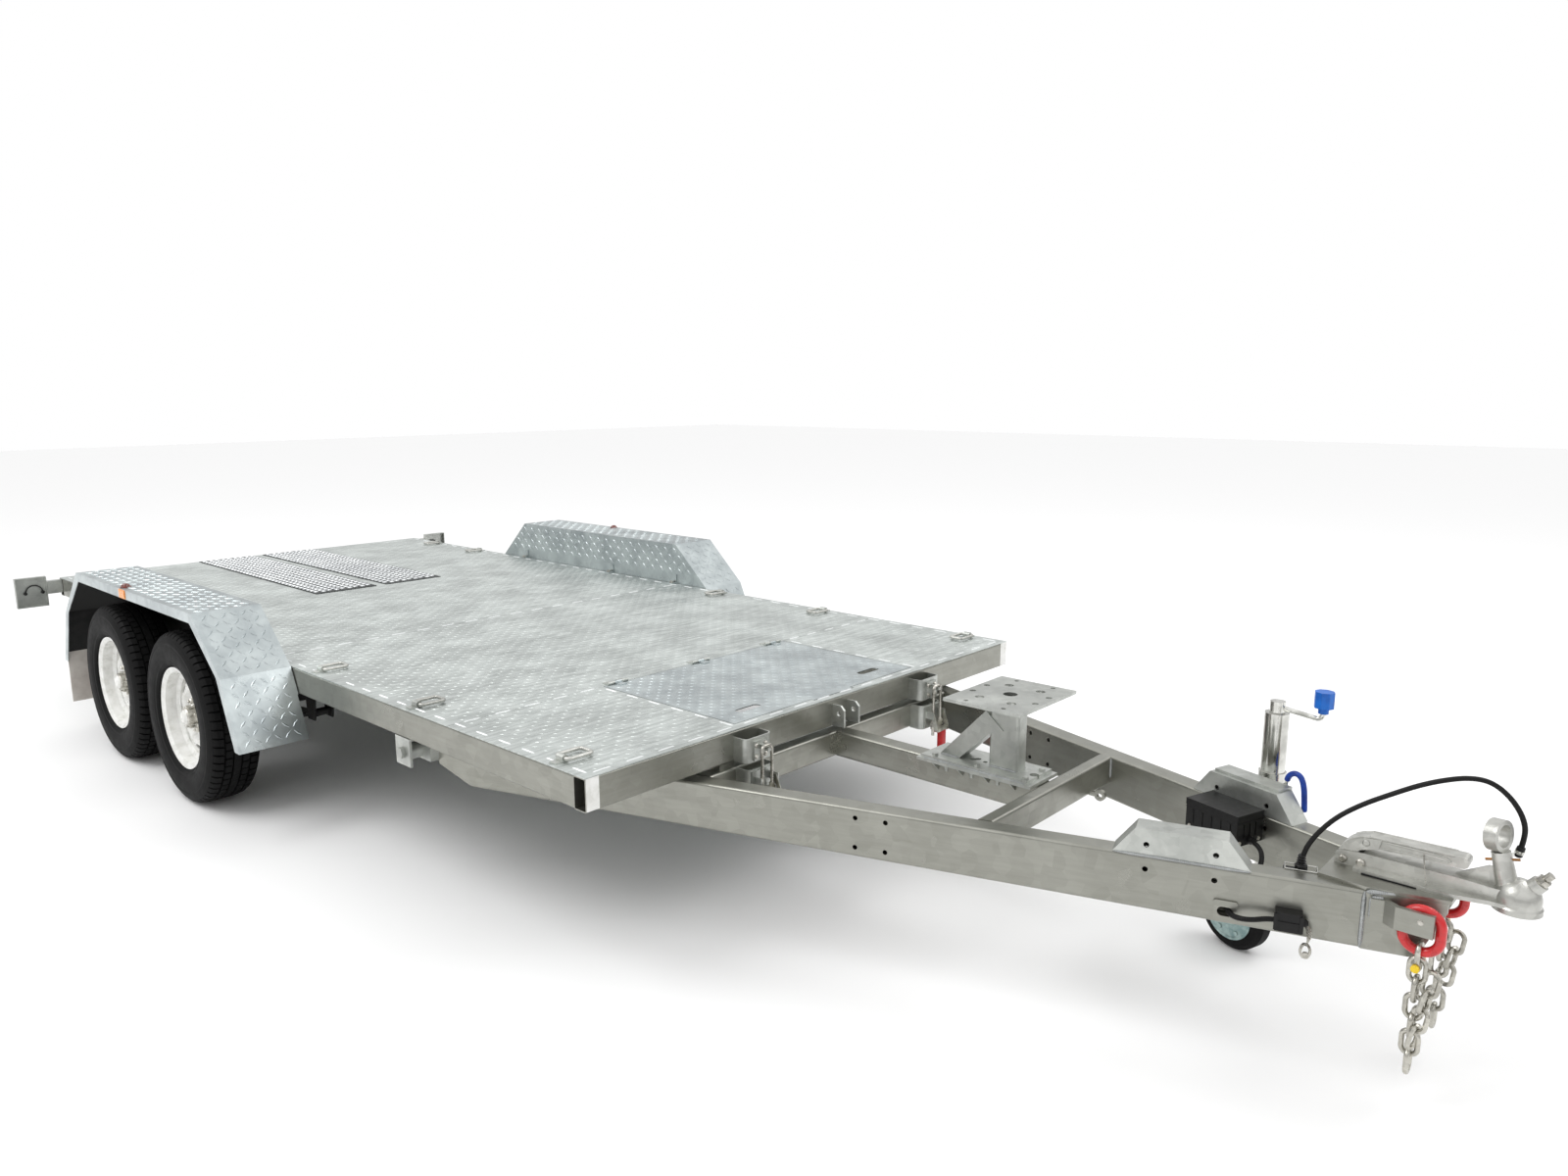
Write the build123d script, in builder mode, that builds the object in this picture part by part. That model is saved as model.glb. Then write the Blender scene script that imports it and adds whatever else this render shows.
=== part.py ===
from build123d import *
from math import asin, cos, degrees, pi, radians, sin, sqrt, tan
import os

# Car trailer with a tilting flat deck on tandem axles, millimetres.
# +X points to the hitch, +Y to the left, +Z up, with the ground at zero.

# Deck
deck_length = 4416.0
deck_width = 2000.0
deck_top = 565.0
deck_plate_t = 3.0
hitch_reach = 1871.0
deck_front = (deck_length - hitch_reach) / 2
deck_beam_w = 50.0
deck_beam_h = 90.0
deck_beam_wall = 3.0
joist_w = 40.0
joist_h = 60.0
joist_wall = 3.0
joist_count = 9
seam_gap = 1.5
seam_front = 642.0
seam_rear = 1861.0
grip_strip_w = 300.0
grip_strip_l = 1460.0
grip_strip_t = 3.0
grip_strip_pitch = 350.0
grip_strip_tail = 16.0

# Hatch
hatch_width = 866.0
hatch_length = 600.0
hatch_gap = 3.0
hatch_inset = 40.0
finger_slot_l = 100.0
finger_slot_w = 30.0
finger_slot_from_edge = 80.0
finger_slot_spread = 590.0
hatch_ledge_w = 30.0
hinge_r = 5.0
hinge_leaf_l = 84.0
hinge_pitch = 375.0
hatch_tongue_w = 190.0
hatch_tongue_d = 14.0

# Running gear
tyre_r = 325.0
tyre_w = 186.0
rim_flange_r = 192.0
rim_w = 152.0
rim_inset = 22.0
axle_spacing = 741.0
bogie_from_front = 2523.5
axle_box = 50.0
axle_past = 7.0
hub_r = 58.0
stub_r = 22.0
running_gap = 0.3
rail_w = 50.0
rail_h = 90.0
rail_inset = 150.0
rail_length = 2350.0
rail_clear = 60.0
spring_half = 345.0
leaf_w = 60.0
leaf_t = 8.0
leaf_count = 4
leaf_step = 62.0
spring_camber = 42.0
spring_gap = 0.6
eye_r = 15.0
hanger_w = 70.0
hanger_t = 6.0
hub_bore_r = 34.0
stub_l = 140.0

# Fenders
fender_gap = 3.0
fender_w = 237.5
fender_rise = 195.5
fender_sheet = 3.0
fender_top_half = 641.6
fender_mid_half = 856.6
fender_low_half = 963.5
fender_low_z = 326.0
fender_lip = 36.0
lug_l = 40.0
lug_t = 5.0
lug_h = 45.0
lug_reach = 30.0
lug_steps = (-636.5, 133.5, 628.5)
flap_w = 190.0
flap_t = 5.0
flap_drop = 190.0
flap_hold = 40.0

# Drawbar
beam_h = 132.0
beam_w = 61.0
beam_wall_t = 4.0
drawbar_top = 456.0
beam_front_x = 1558.6
beam_front_y = 124.1
beam_length = 2530.0
heel_l = 120.0
heel_h = 60.0
brake_hole_backs = (1164.0, 1082.0)
brake_hole_rise = 40.0
fixing_hole_r = 6.5
doubler_back = 273.0
doubler_z = 355.0
doubler_w = 52.0
doubler_t = 5.0
doubler_slot_l = 34.0
doubler_slot_w = 22.0
rest_beam_h = 82.0
rest_beam_w = 50.0
rest_proud = 8.0
rest_pad_y = 500.0
rear_tube_w = 60.0
rear_tube_h = 70.0
rear_tube_from_heel = 75.0
rest_pad_l = 60.0
seat_gap = 0.3
centre_beam_w = 60.0
crossmember_x = 742.0
crossmember_w = 40.0
crossmember_h = 82.0
eye_out = 32.0
eye_bolt_y = 196.0
eye_bolt_z = 382.0
eye_bolt_r = 6.0
pivot_reach = 72.3
pivot_z = 423.0
pivot_inset = 111.0
beam_end_out = 31.8
pivot_arm_w = 60.0
pivot_side_gap = 4.0
pivot_pin_r = 12.0
pivot_eye_r = 28.0
pivot_eye_l = 99.0
pivot_cheek_t = 8.0
pivot_cheek_l = 84.0
pivot_cheek_low = 382.0
riser_back = 525.0
riser_base = 300.0
riser_rake = 50.0
riser_h = 65.0
riser_sheet = 5.0
riser_hole_pitch = 150.0
riser_hole_z = 27.0
riser_low_hole_z = 423.0
nose_l = 146.0
nose_t = 8.0
nose_rake = 46.0
nose_plate_back = 100.0
nose_plate_y = 112.0
nose_plate_t = 8.0
winch_post_x = 606.0
winch_post_l = 92.0
winch_post_w = 50.0
brace_w = 56.0
winch_base_w = 136.0
winch_base_t = 9.0
winch_base_back = 245.0
winch_plate_x = 608.0
winch_plate_l = 240.0
winch_plate_w = 306.0
winch_plate_t = 9.0
winch_top = 685.0
winch_bore_r = 20.0
wide_hole_dx = 100.0
wide_hole_dy = 156.0
wide_hole_r = 13.0
side_hole_dx = 196.0
side_hole_dy = 74.0
side_hole_r = 9.0
end_hole_dx = 116.0
end_hole_dy = 266.0
end_hole_r = 6.5

# Latches and clevis
latch_y = 423.0
channel_w = 110.0
channel_d = 50.0
channel_t = 5.0
channel_round = 18.0
hook_reach = 40.0
hook_z = 524.0
hook_half = 6.0
loop_rod_r = 5.0
loop_half = 20.0
rod_bottom = 352.0
yoke_half = 27.0
yoke_z = 392.0
cheek_t = 4.0
lever_z = 424.0
grip_top = 372.0
grip_l = 96.0
clevis_half = 36.0
clevis_t = 8.0

# Coupling and chains
bolt_tip_reach = 58.0
coupling_ball_x = hitch_reach - bolt_tip_reach
ball_r = 25.4
ball_rise = 12.0
head_r = 43.0
head_h = 58.0
flange_t = 9.0
flange_tail = 45.0
flange_half = 60.0
flange_neck = 41.0
cast_half = 27.0
cast_h = 36.0
cast_tail = 40.0
fin_t = 8.0
fin_top_z = 534.0
post_foot_x = 1797.0
post_foot_rise = 18.0
post_lean = 14.7
post_l = 92.0
post_r = 22.0
post_taper = 2.5
holder_x = 1766.0
holder_z = 604.0
holder_r = 34.0
holder_hole_r = 24.0
holder_half = 13.0
holder_turn = 19.0
pin_rise = 72.0
bolt_pitch = 52.0
bolt_r = 8.0
bolt_boss_r = 19.0
bolt_boss_l = 57.0
nut_r = 14.0
nut_h = 12.0
lever_back = 76.0
lever_rise = 15.0
lever_w = 40.0
lever_top = 64.0
lever_reach = 230.0
link_rod_r = 5.5
link_l = 64.0
link_w = 42.0
link_count = 6
chain_arm_z = 421.0
chain_arm_h = 50.0
chain_arm_y = 126.0
chain_arm_t = 12.0
chain_arm_tab = 14.0
chain_arm_bend = 38.0
chain_arm_jog = 24.0
chain_arm_end = 1694.0
chain_pin_r = 9.0
chain_pin_l = 24.0
chain_pin_back = 25.0
chain_pin_z = 427.0
ring_from_arm = 11.5
joining_rod_r = 10.5
joining_l = 114.0
joining_w = 92.0
shackle_rod_r = 5.5
shackle_w = 44.0
shackle_pin_r = 6.5
shackle_pin_z = 324.5
shackle_eye_r = 10.0

# Jockey wheel
jockey_back = 376.0
jockey_off = 58.0
jockey_pivot_rise = 26.0
jockey_tube_r = 30.0
jockey_tube_bottom = 330.0
jockey_tube_top = 683.0
jockey_leg_r = 25.0
jockey_fit = 0.5
jockey_leg_top = 520.0
swing_pin_r = 14.0
collar_r = 36.0
bracket_l = 190.0
bracket_h = 84.0
bracket_t = 8.0
fork_top = 214.0
fork_half = 40.0
fork_t = 5.0
fork_web = 7.0
jockey_trail = 76.0
jockey_wheel_r = 100.0
jockey_wheel_w = 62.0
jockey_axle_r = 8.0
crank_l = 110.0
crank_rod_r = 6.5
crank_drop = 14.0
hub_cap_r = 19.0
hub_cap_h = 30.0
cap_t = 7.0
knob_r = 24.0
knob_h = 42.0
knob_low = 709.0
knob_neck_r = 12.5
knob_neck_h = 15.0
flange_in = 46.0
bracket_lip = 6.0
upper_collar_h = 26.0
handle_back = 296.0
handle_top_z = 535.0
handle_l = 97.0
handle_w = 36.0
handle_rod_r = 6.5

# Boxes, lamps and cable
battery_back = 460.0
battery_l = 155.0
battery_d = 100.0
battery_h = 80.0
panel_gap = 65.0
panel_w = 136.0
panel_low = 430.0
panel_top = 582.0
panel_d = 25.0
panel_sheet = 3.0
panel_rail_d = 40.0
panel_rail_h = 65.0
marker_back = 100.0
marker_r = 15.0
marker_h = 16.0
reflector_l = 60.0
reflector_h = 28.0
switch_back = 116.0
switch_l = 55.0
switch_d = 30.0
switch_low = 344.0
switch_h = 44.0
cable_r = 5.5
conduit_r = 6.0
boot_back = 130.0
boot_l = 30.0
boot_d = 22.0
boot_h = 34.0
boot_top = 452.0

os.makedirs("parts", exist_ok=True)


def save(piece, name):
    piece.label = name
    export_step(piece, f"parts/{name}.step")


def box_tube(plane, width, height, wall, length):
    """Straight rectangular tube whose section is centred on plane and runs along its normal."""
    with BuildPart() as tube:
        with BuildSketch(plane):
            RectangleRounded(width, height, 2 * wall)
            RectangleRounded(width - 2 * wall, height - 2 * wall, wall, mode=Mode.SUBTRACT)
        extrude(amount=length)
    return tube.part


def block(x0, x1, y0, y1, z0, z1):
    """Plain plate or bar between two corners."""
    with BuildPart() as bar:
        with BuildSketch(Plane.XY.offset(z0)):
            with Locations(((x0 + x1) / 2, (y0 + y1) / 2)):
                Rectangle(x1 - x0, y1 - y0)
        extrude(amount=z1 - z0)
    return bar.part


def across(x, z):
    """Plane at y = 0 facing +Y, centred on x and z, with its own x along +X."""
    return Plane(origin=(x, 0, z), x_dir=(1, 0, 0), z_dir=(0, 1, 0))


def along(x, y, z):
    """Plane facing +X, centred on the point given, with its own x along +Y."""
    return Plane(origin=(x, y, z), x_dir=(0, 1, 0), z_dir=(1, 0, 0))


deck_rear = deck_front - deck_length
deck_half = deck_width / 2
fender_inner_y = deck_half + fender_gap
fender_outer_y = fender_inner_y + fender_w
rim_outer_y = fender_outer_y - rim_inset
axle_end_y = fender_inner_y + axle_past
stub_end_y = axle_end_y + stub_l
rail_y = deck_half - rail_inset
pivot_arm_y = deck_half - pivot_inset
frame_top = deck_top - deck_plate_t
frame_bottom = frame_top - deck_beam_h
joist_bottom = frame_top - joist_h
rail_top = joist_bottom
bogie_x = deck_front - bogie_from_front
axle_xs = (bogie_x + axle_spacing / 2, bogie_x - axle_spacing / 2)
axle_z = tyre_r

# The drawbar beams spread from the nose to the pivot arms under the deck
nose_x = deck_front + beam_front_x
beam_angle = degrees(asin((pivot_arm_y + beam_end_out - beam_front_y) / beam_length))
cos_a = cos(radians(beam_angle))
sin_a = sin(radians(beam_angle))
heel_x = nose_x - beam_length * cos_a
pivot_x = heel_x - pivot_reach
print("beam angle", round(beam_angle, 5), "pivot x", round(pivot_x, 3))


# Deck frame
with BuildPart() as deck_cross_beams:
    for x in (deck_front - deck_beam_w / 2, deck_rear + deck_beam_w / 2):
        add(box_tube(across(x, (frame_top + frame_bottom) / 2).offset(-deck_half),
                     deck_beam_w, deck_beam_h, deck_beam_wall, deck_width))
save(deck_cross_beams.part, "deck_cross_beams")
with BuildPart() as deck_side_beams:
    for y in (deck_half - deck_beam_w / 2, deck_beam_w / 2 - deck_half):
        add(box_tube(along(deck_rear + deck_beam_w, y, (frame_top + frame_bottom) / 2),
                     deck_beam_w, deck_beam_h, deck_beam_wall, deck_length - 2 * deck_beam_w))
save(deck_side_beams.part, "deck_side_beams")

hatch_front_x = deck_front - hatch_inset
hatch_rear_x = hatch_front_x - hatch_length
seam_front_x = deck_front - seam_front
seam_rear_x = deck_front - seam_rear
joist_first = hatch_rear_x - joist_w / 2 - hatch_gap
joist_last = deck_rear + 420.0
joist_pitch = (joist_first - joist_last) / (joist_count - 1)
joist_xs = [joist_first - i * joist_pitch for i in range(joist_count)]
inner_half = deck_half - deck_beam_w

with BuildPart() as deck_joists:
    for x in joist_xs:
        add(box_tube(across(x, frame_top - joist_h / 2).offset(-inner_half),
                     joist_w, joist_h, joist_wall, 2 * inner_half))

trimmer_y = hatch_width / 2 + hatch_gap + joist_w / 2 - hatch_ledge_w
trimmer_rear = joist_first + joist_w / 2
trimmer_front = deck_front - deck_beam_w
with deck_joists:
    for y in (trimmer_y, -trimmer_y):
        add(box_tube(along(trimmer_rear, y, frame_top - joist_h / 2),
                     joist_w, joist_h, joist_wall, trimmer_front - trimmer_rear))
save(deck_joists.part, "deck_joists")


# Deck plate in three panels with a hatch opening in the front one
def deck_panel(x0, x1):
    return block(x0, x1, -deck_half, deck_half, frame_top, deck_top)


with BuildPart() as deck_panel_front:
    add(deck_panel(seam_front_x + seam_gap, deck_front))
    with BuildSketch(Plane.XY.offset(frame_top)):
        with Locations(((hatch_front_x + hatch_rear_x) / 2, 0)):
            Rectangle(hatch_length + 2 * hatch_gap, hatch_width + 2 * hatch_gap)
        with Locations((hatch_front_x + hatch_gap + hatch_tongue_d / 2, 0)):
            Rectangle(hatch_tongue_d, hatch_tongue_w + 2 * hatch_gap)
    extrude(amount=deck_plate_t, mode=Mode.SUBTRACT)
save(deck_panel_front.part, "deck_panel_front")
with BuildPart() as deck_panels_rear:
    add(deck_panel(seam_rear_x + seam_gap, seam_front_x))
    add(deck_panel(deck_rear, seam_rear_x))
save(deck_panels_rear.part, "deck_panels_rear")

with BuildPart() as grip_strips:
    with BuildSketch(Plane.XY.offset(deck_top)):
        with Locations((deck_rear + grip_strip_tail + grip_strip_l / 2, grip_strip_pitch / 2),
                       (deck_rear + grip_strip_tail + grip_strip_l / 2, -grip_strip_pitch / 2)):
            Rectangle(grip_strip_l, grip_strip_w)
    extrude(amount=grip_strip_t)
save(grip_strips.part, "grip_strips")

# Hatch with finger slots, front tongue and hinge knuckles
hinge_x = hatch_rear_x - hatch_gap / 2
hinge_z = deck_top + hinge_r
hinge_ys = (-hinge_pitch, 0, hinge_pitch)
with BuildPart() as hatch:
    with BuildSketch(Plane.XY.offset(frame_top)):
        with Locations(((hatch_front_x + hatch_rear_x) / 2, 0)):
            Rectangle(hatch_length, hatch_width)
        with Locations((hatch_front_x + hatch_tongue_d / 2 - 1, 0)):
            Rectangle(hatch_tongue_d - 2, hatch_tongue_w)
        with Locations((hatch_front_x - finger_slot_from_edge, finger_slot_spread / 2),
                       (hatch_front_x - finger_slot_from_edge, -finger_slot_spread / 2)):
            SlotOverall(finger_slot_l, finger_slot_w, rotation=90, mode=Mode.SUBTRACT)
    extrude(amount=deck_plate_t)
    for y in hinge_ys:
        with BuildSketch(across(hinge_x, hinge_z).offset(y - hinge_leaf_l / 6)):
            Circle(hinge_r)
        extrude(amount=hinge_leaf_l / 3)
        add(block(hinge_x, hatch_rear_x + 30, y - hinge_leaf_l / 6, y + hinge_leaf_l / 6,
                  deck_top, deck_top + 3))
save(hatch.part, "hatch")

with BuildPart() as hatch_hinges:
    for y in hinge_ys:
        for end in (-1, 1):
            mid = y + end * hinge_leaf_l / 3
            half = hinge_leaf_l / 6 - 0.5
            with BuildSketch(across(hinge_x, hinge_z).offset(mid - half)):
                Circle(hinge_r)
            extrude(amount=2 * half)
            add(block(hinge_x - 30, hinge_x, mid - half, mid + half, deck_top, deck_top + 3))
save(hatch_hinges.part, "hatch_hinges")


# Tie-down rings in welded straps along both edges of the deck
ring_rod_r = 5.5
ring_length = 92.0
ring_width = 66.0
ring_edge = 40.0
strap_l = 28.0
strap_foot = 20.0
ring_bend = 12.0
strap_t = 4.0
ring_clear = 0.6
ring_front_steps = (150.0, 885.0, 1520.0)
ring_rear_steps = (831.0, 356.0)
ring_xs = [deck_front - step for step in ring_front_steps] + [deck_rear + step for step in ring_rear_steps]
ring_z = deck_top + strap_t + ring_rod_r + ring_clear
strap_y = deck_half - ring_edge


def rod_ring(plane, length, width, rod_r, corner):
    """Closed oblong ring of round rod, one end at the plane's origin and reaching along its x."""
    x0 = 0
    x1 = length - 2 * rod_r
    half = width / 2 - rod_r
    with BuildPart() as ring:
        with BuildLine(plane) as path:
            FilletPolyline((x0, -half), (x1, -half), (x1, half), (x0, half), radius=corner, close=True)
        outline = path.wire()
        with BuildSketch(Plane(origin=outline @ 0, z_dir=outline % 0)):
            Circle(rod_r)
        sweep(path=outline)
    return ring.part


def side_name(side):
    return "left" if side > 0 else "right"


with BuildPart() as tie_rings:
    for side in (1, -1):
        for x in ring_xs:
            add(rod_ring(Plane(origin=(x, side * strap_y, ring_z), x_dir=(0, -side, 0), z_dir=(0, 0, 1)),
                         ring_length, ring_width, ring_rod_r, ring_bend))
save(tie_rings.part, "tie_rings")

# Each strap bridges its ring with a half-round bend between two welded tails
strap_bore = ring_rod_r + ring_clear
with BuildPart() as ring_straps:
    for side in (1, -1):
        for x in ring_xs:
            with BuildSketch(Plane(origin=(x - strap_l / 2, side * strap_y, deck_top),
                                   x_dir=(0, 1, 0), z_dir=(1, 0, 0))):
                with Locations((0, ring_z - deck_top)):
                    Circle(strap_bore + strap_t)
                with Locations((0, (ring_z - deck_top) / 2)):
                    Rectangle(2 * (strap_bore + strap_t), ring_z - deck_top)
                with Locations((side * (strap_bore + strap_t + strap_foot / 2), strap_t / 2)):
                    Rectangle(strap_foot, strap_t)
                with Locations((0, ring_z - deck_top)):
                    Circle(strap_bore, mode=Mode.SUBTRACT)
            extrude(amount=strap_l)
save(ring_straps.part, "ring_straps")


# Fenders: bent strip over both wheels, inner side panel and outer lip
fender_top = deck_top + fender_rise
fender_points = [
    (bogie_x - fender_low_half, fender_low_z),
    (bogie_x - fender_mid_half, deck_top),
    (bogie_x - fender_top_half, fender_top),
    (bogie_x + fender_top_half, fender_top),
    (bogie_x + fender_mid_half, deck_top),
    (bogie_x + fender_low_half, fender_low_z),
]
fender_lip_points = [
    (fender_points[0][0] + fender_lip + 1, fender_low_z - 1),
    (fender_points[1][0] + fender_lip, deck_top),
    (fender_points[2][0] + fender_lip / 2, fender_top - fender_lip),
    (fender_points[3][0] - fender_lip / 2, fender_top - fender_lip),
    (fender_points[4][0] - fender_lip, deck_top),
    (fender_points[5][0] - fender_lip - 1, fender_low_z - 1),
]


def upright(side, y_in, y_out):
    """Plane at the +Y end of a slab that lies between two distances from the middle, x and z as drawn."""
    return Plane.XZ.offset(-y_out if side > 0 else y_in)


def slab(side, y_in, y_out, points):
    """Plate with a straight-sided outline in x and z, between two distances from the middle."""
    with BuildPart() as plate:
        with BuildSketch(upright(side, y_in, y_out)):
            with BuildLine():
                Polyline(*points, close=True)
            make_face()
        extrude(amount=y_out - y_in)
    return plate.part


def cross_rod(side, x, z, radius, y_in, y_out):
    """Round bar along Y between two distances from the middle."""
    with BuildPart() as rod:
        with BuildSketch(upright(side, y_in, y_out)):
            with Locations((x, z)):
                Circle(radius)
        extrude(amount=y_out - y_in)
    return rod.part


lug_xs = [bogie_x + step for step in lug_steps]
lug_in = deck_half - lug_reach
for side in (1, -1):
    with BuildPart() as fender:
        add(slab(side, fender_inner_y, fender_outer_y, fender_points))
        ends = fender.faces().filter_by(Axis.Y).sort_by(Axis.Y)
        bottom = fender.faces().filter_by(Axis.Z).sort_by(Axis.Z)[0]
        offset(amount=-fender_sheet, openings=[bottom, ends[-1] if side > 0 else ends[0]])
        add(block(bogie_x - fender_low_half, bogie_x + fender_low_half,
                  *sorted((side * (fender_inner_y - 1), side * (fender_inner_y + fender_sheet + 0.01))),
                  fender_low_z - 1, frame_bottom), mode=Mode.SUBTRACT)
        with BuildSketch(upright(side, fender_outer_y - fender_sheet, fender_outer_y)) as lip:
            with BuildLine():
                Polyline(*fender_points, close=True)
            make_face()
            with BuildLine():
                Polyline(*fender_lip_points, close=True)
            make_face(mode=Mode.SUBTRACT)
        extrude(amount=fender_sheet)
        # Lugs that stand on the deck plate and carry the fender
        for x in lug_xs:
            add(block(x - lug_l / 2, x + lug_l / 2, *sorted((side * lug_in, side * (fender_inner_y + 1))),
                      deck_top, deck_top + lug_t))
            add(block(x - lug_l / 2, x + lug_l / 2,
                      *sorted((side * (fender_inner_y - lug_t), side * (fender_inner_y + 1))),
                      deck_top, deck_top + lug_h))
    save(fender.part, f"fender_{side_name(side)}")

# Mudflaps hang from the rear ends of the fenders
heel_slope = (fender_low_half - fender_mid_half) / (deck_top - fender_low_z)
flap_x = fender_points[0][0] + flap_hold * heel_slope + fender_sheet * 1.2 + seat_gap
with BuildPart() as mudflaps:
    for side in (1, -1):
        add(block(flap_x, flap_x + flap_t,
                  *sorted((side * (fender_outer_y - 5 - flap_w), side * (fender_outer_y - 5))),
                  fender_low_z - flap_drop, fender_low_z + flap_hold))
save(mudflaps.part, "mudflaps")


# Running gear: rails, axles, springs and hangers
rail_front = pivot_x - pivot_cheek_l / 2 - rail_clear
rail_rear = rail_front - rail_length
with BuildPart() as spring_rails:
    for y in (rail_y, -rail_y):
        add(box_tube(along(rail_rear, y, rail_top - rail_h / 2), rail_w, rail_h, deck_beam_wall,
                     rail_length))
save(spring_rails.part, "spring_rails")

spring_z = axle_z - axle_box / 2 - spring_gap
with BuildPart() as axles:
    for x in axle_xs:
        with BuildSketch(across(x, axle_z).offset(-axle_end_y)):
            RectangleRounded(axle_box, axle_box, 6)
        extrude(amount=2 * axle_end_y)
        for side in (1, -1):
            add(cross_rod(side, x, axle_z, stub_r, axle_end_y - 5, stub_end_y))
save(axles.part, "axles")

eye_z = spring_z - leaf_t / 2 + spring_camber
with BuildPart() as leaf_springs:
    for side in (1, -1):
        for x in axle_xs:
            for leaf in range(leaf_count):
                reach = spring_half - leaf * leaf_step
                sag = spring_camber * (reach / spring_half) ** 2
                top = spring_z - leaf * leaf_t
                with BuildSketch(upright(side, rail_y - leaf_w / 2, rail_y + leaf_w / 2)):
                    with BuildLine():
                        upper = ThreePointArc((x - reach, top + sag), (x, top), (x + reach, top + sag))
                        lower = ThreePointArc((x - reach, top + sag - leaf_t), (x, top - leaf_t),
                                              (x + reach, top + sag - leaf_t))
                        Line(upper @ 0, lower @ 0)
                        Line(upper @ 1, lower @ 1)
                    make_face()
                extrude(amount=leaf_w)
            for end in (-1, 1):
                spring_eye_x = x + end * spring_half
                add(cross_rod(side, spring_eye_x, eye_z, eye_r, rail_y - leaf_w / 2, rail_y + leaf_w / 2))
save(leaf_springs.part, "leaf_springs")

rail_bottom = rail_top - rail_h
hanger_xs = (axle_xs[0] + spring_half, bogie_x, axle_xs[1] - spring_half)
hanger_reach = (eye_r + 12, axle_spacing / 2 - spring_half + eye_r + 12, eye_r + 12)
with BuildPart() as spring_hangers:
    for side in (1, -1):
        for x, reach in zip(hanger_xs, hanger_reach):
            for y_in in (rail_y - leaf_w / 2 - 0.3 - hanger_t, rail_y + leaf_w / 2 + 0.3):
                add(slab(side, y_in, y_in + hanger_t,
                         [(x - reach - 14, rail_bottom), (x + reach + 14, rail_bottom),
                          (x + reach, eye_z - eye_r - 8), (x - reach, eye_z - eye_r - 8)]))
            add(block(x - reach - 14, x + reach + 14,
                      *sorted((side * (rail_y - leaf_w / 2 - 0.3 - hanger_t),
                               side * (rail_y + leaf_w / 2 + 0.3 + hanger_t))),
                      rail_bottom - hanger_t, rail_bottom))
save(spring_hangers.part, "spring_hangers")


# Wheels: a dished steel rim with windows and a tyre, on a hub with a grease cap
rim_mid_y = rim_outer_y - rim_w / 2
disc_y = rim_mid_y + 20
rim_windows = 8
window_ring_r = 129.0
window_w = 46.0
window_h = 32.0
window_corner_r = 10.0
window_reach = 20.0


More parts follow.
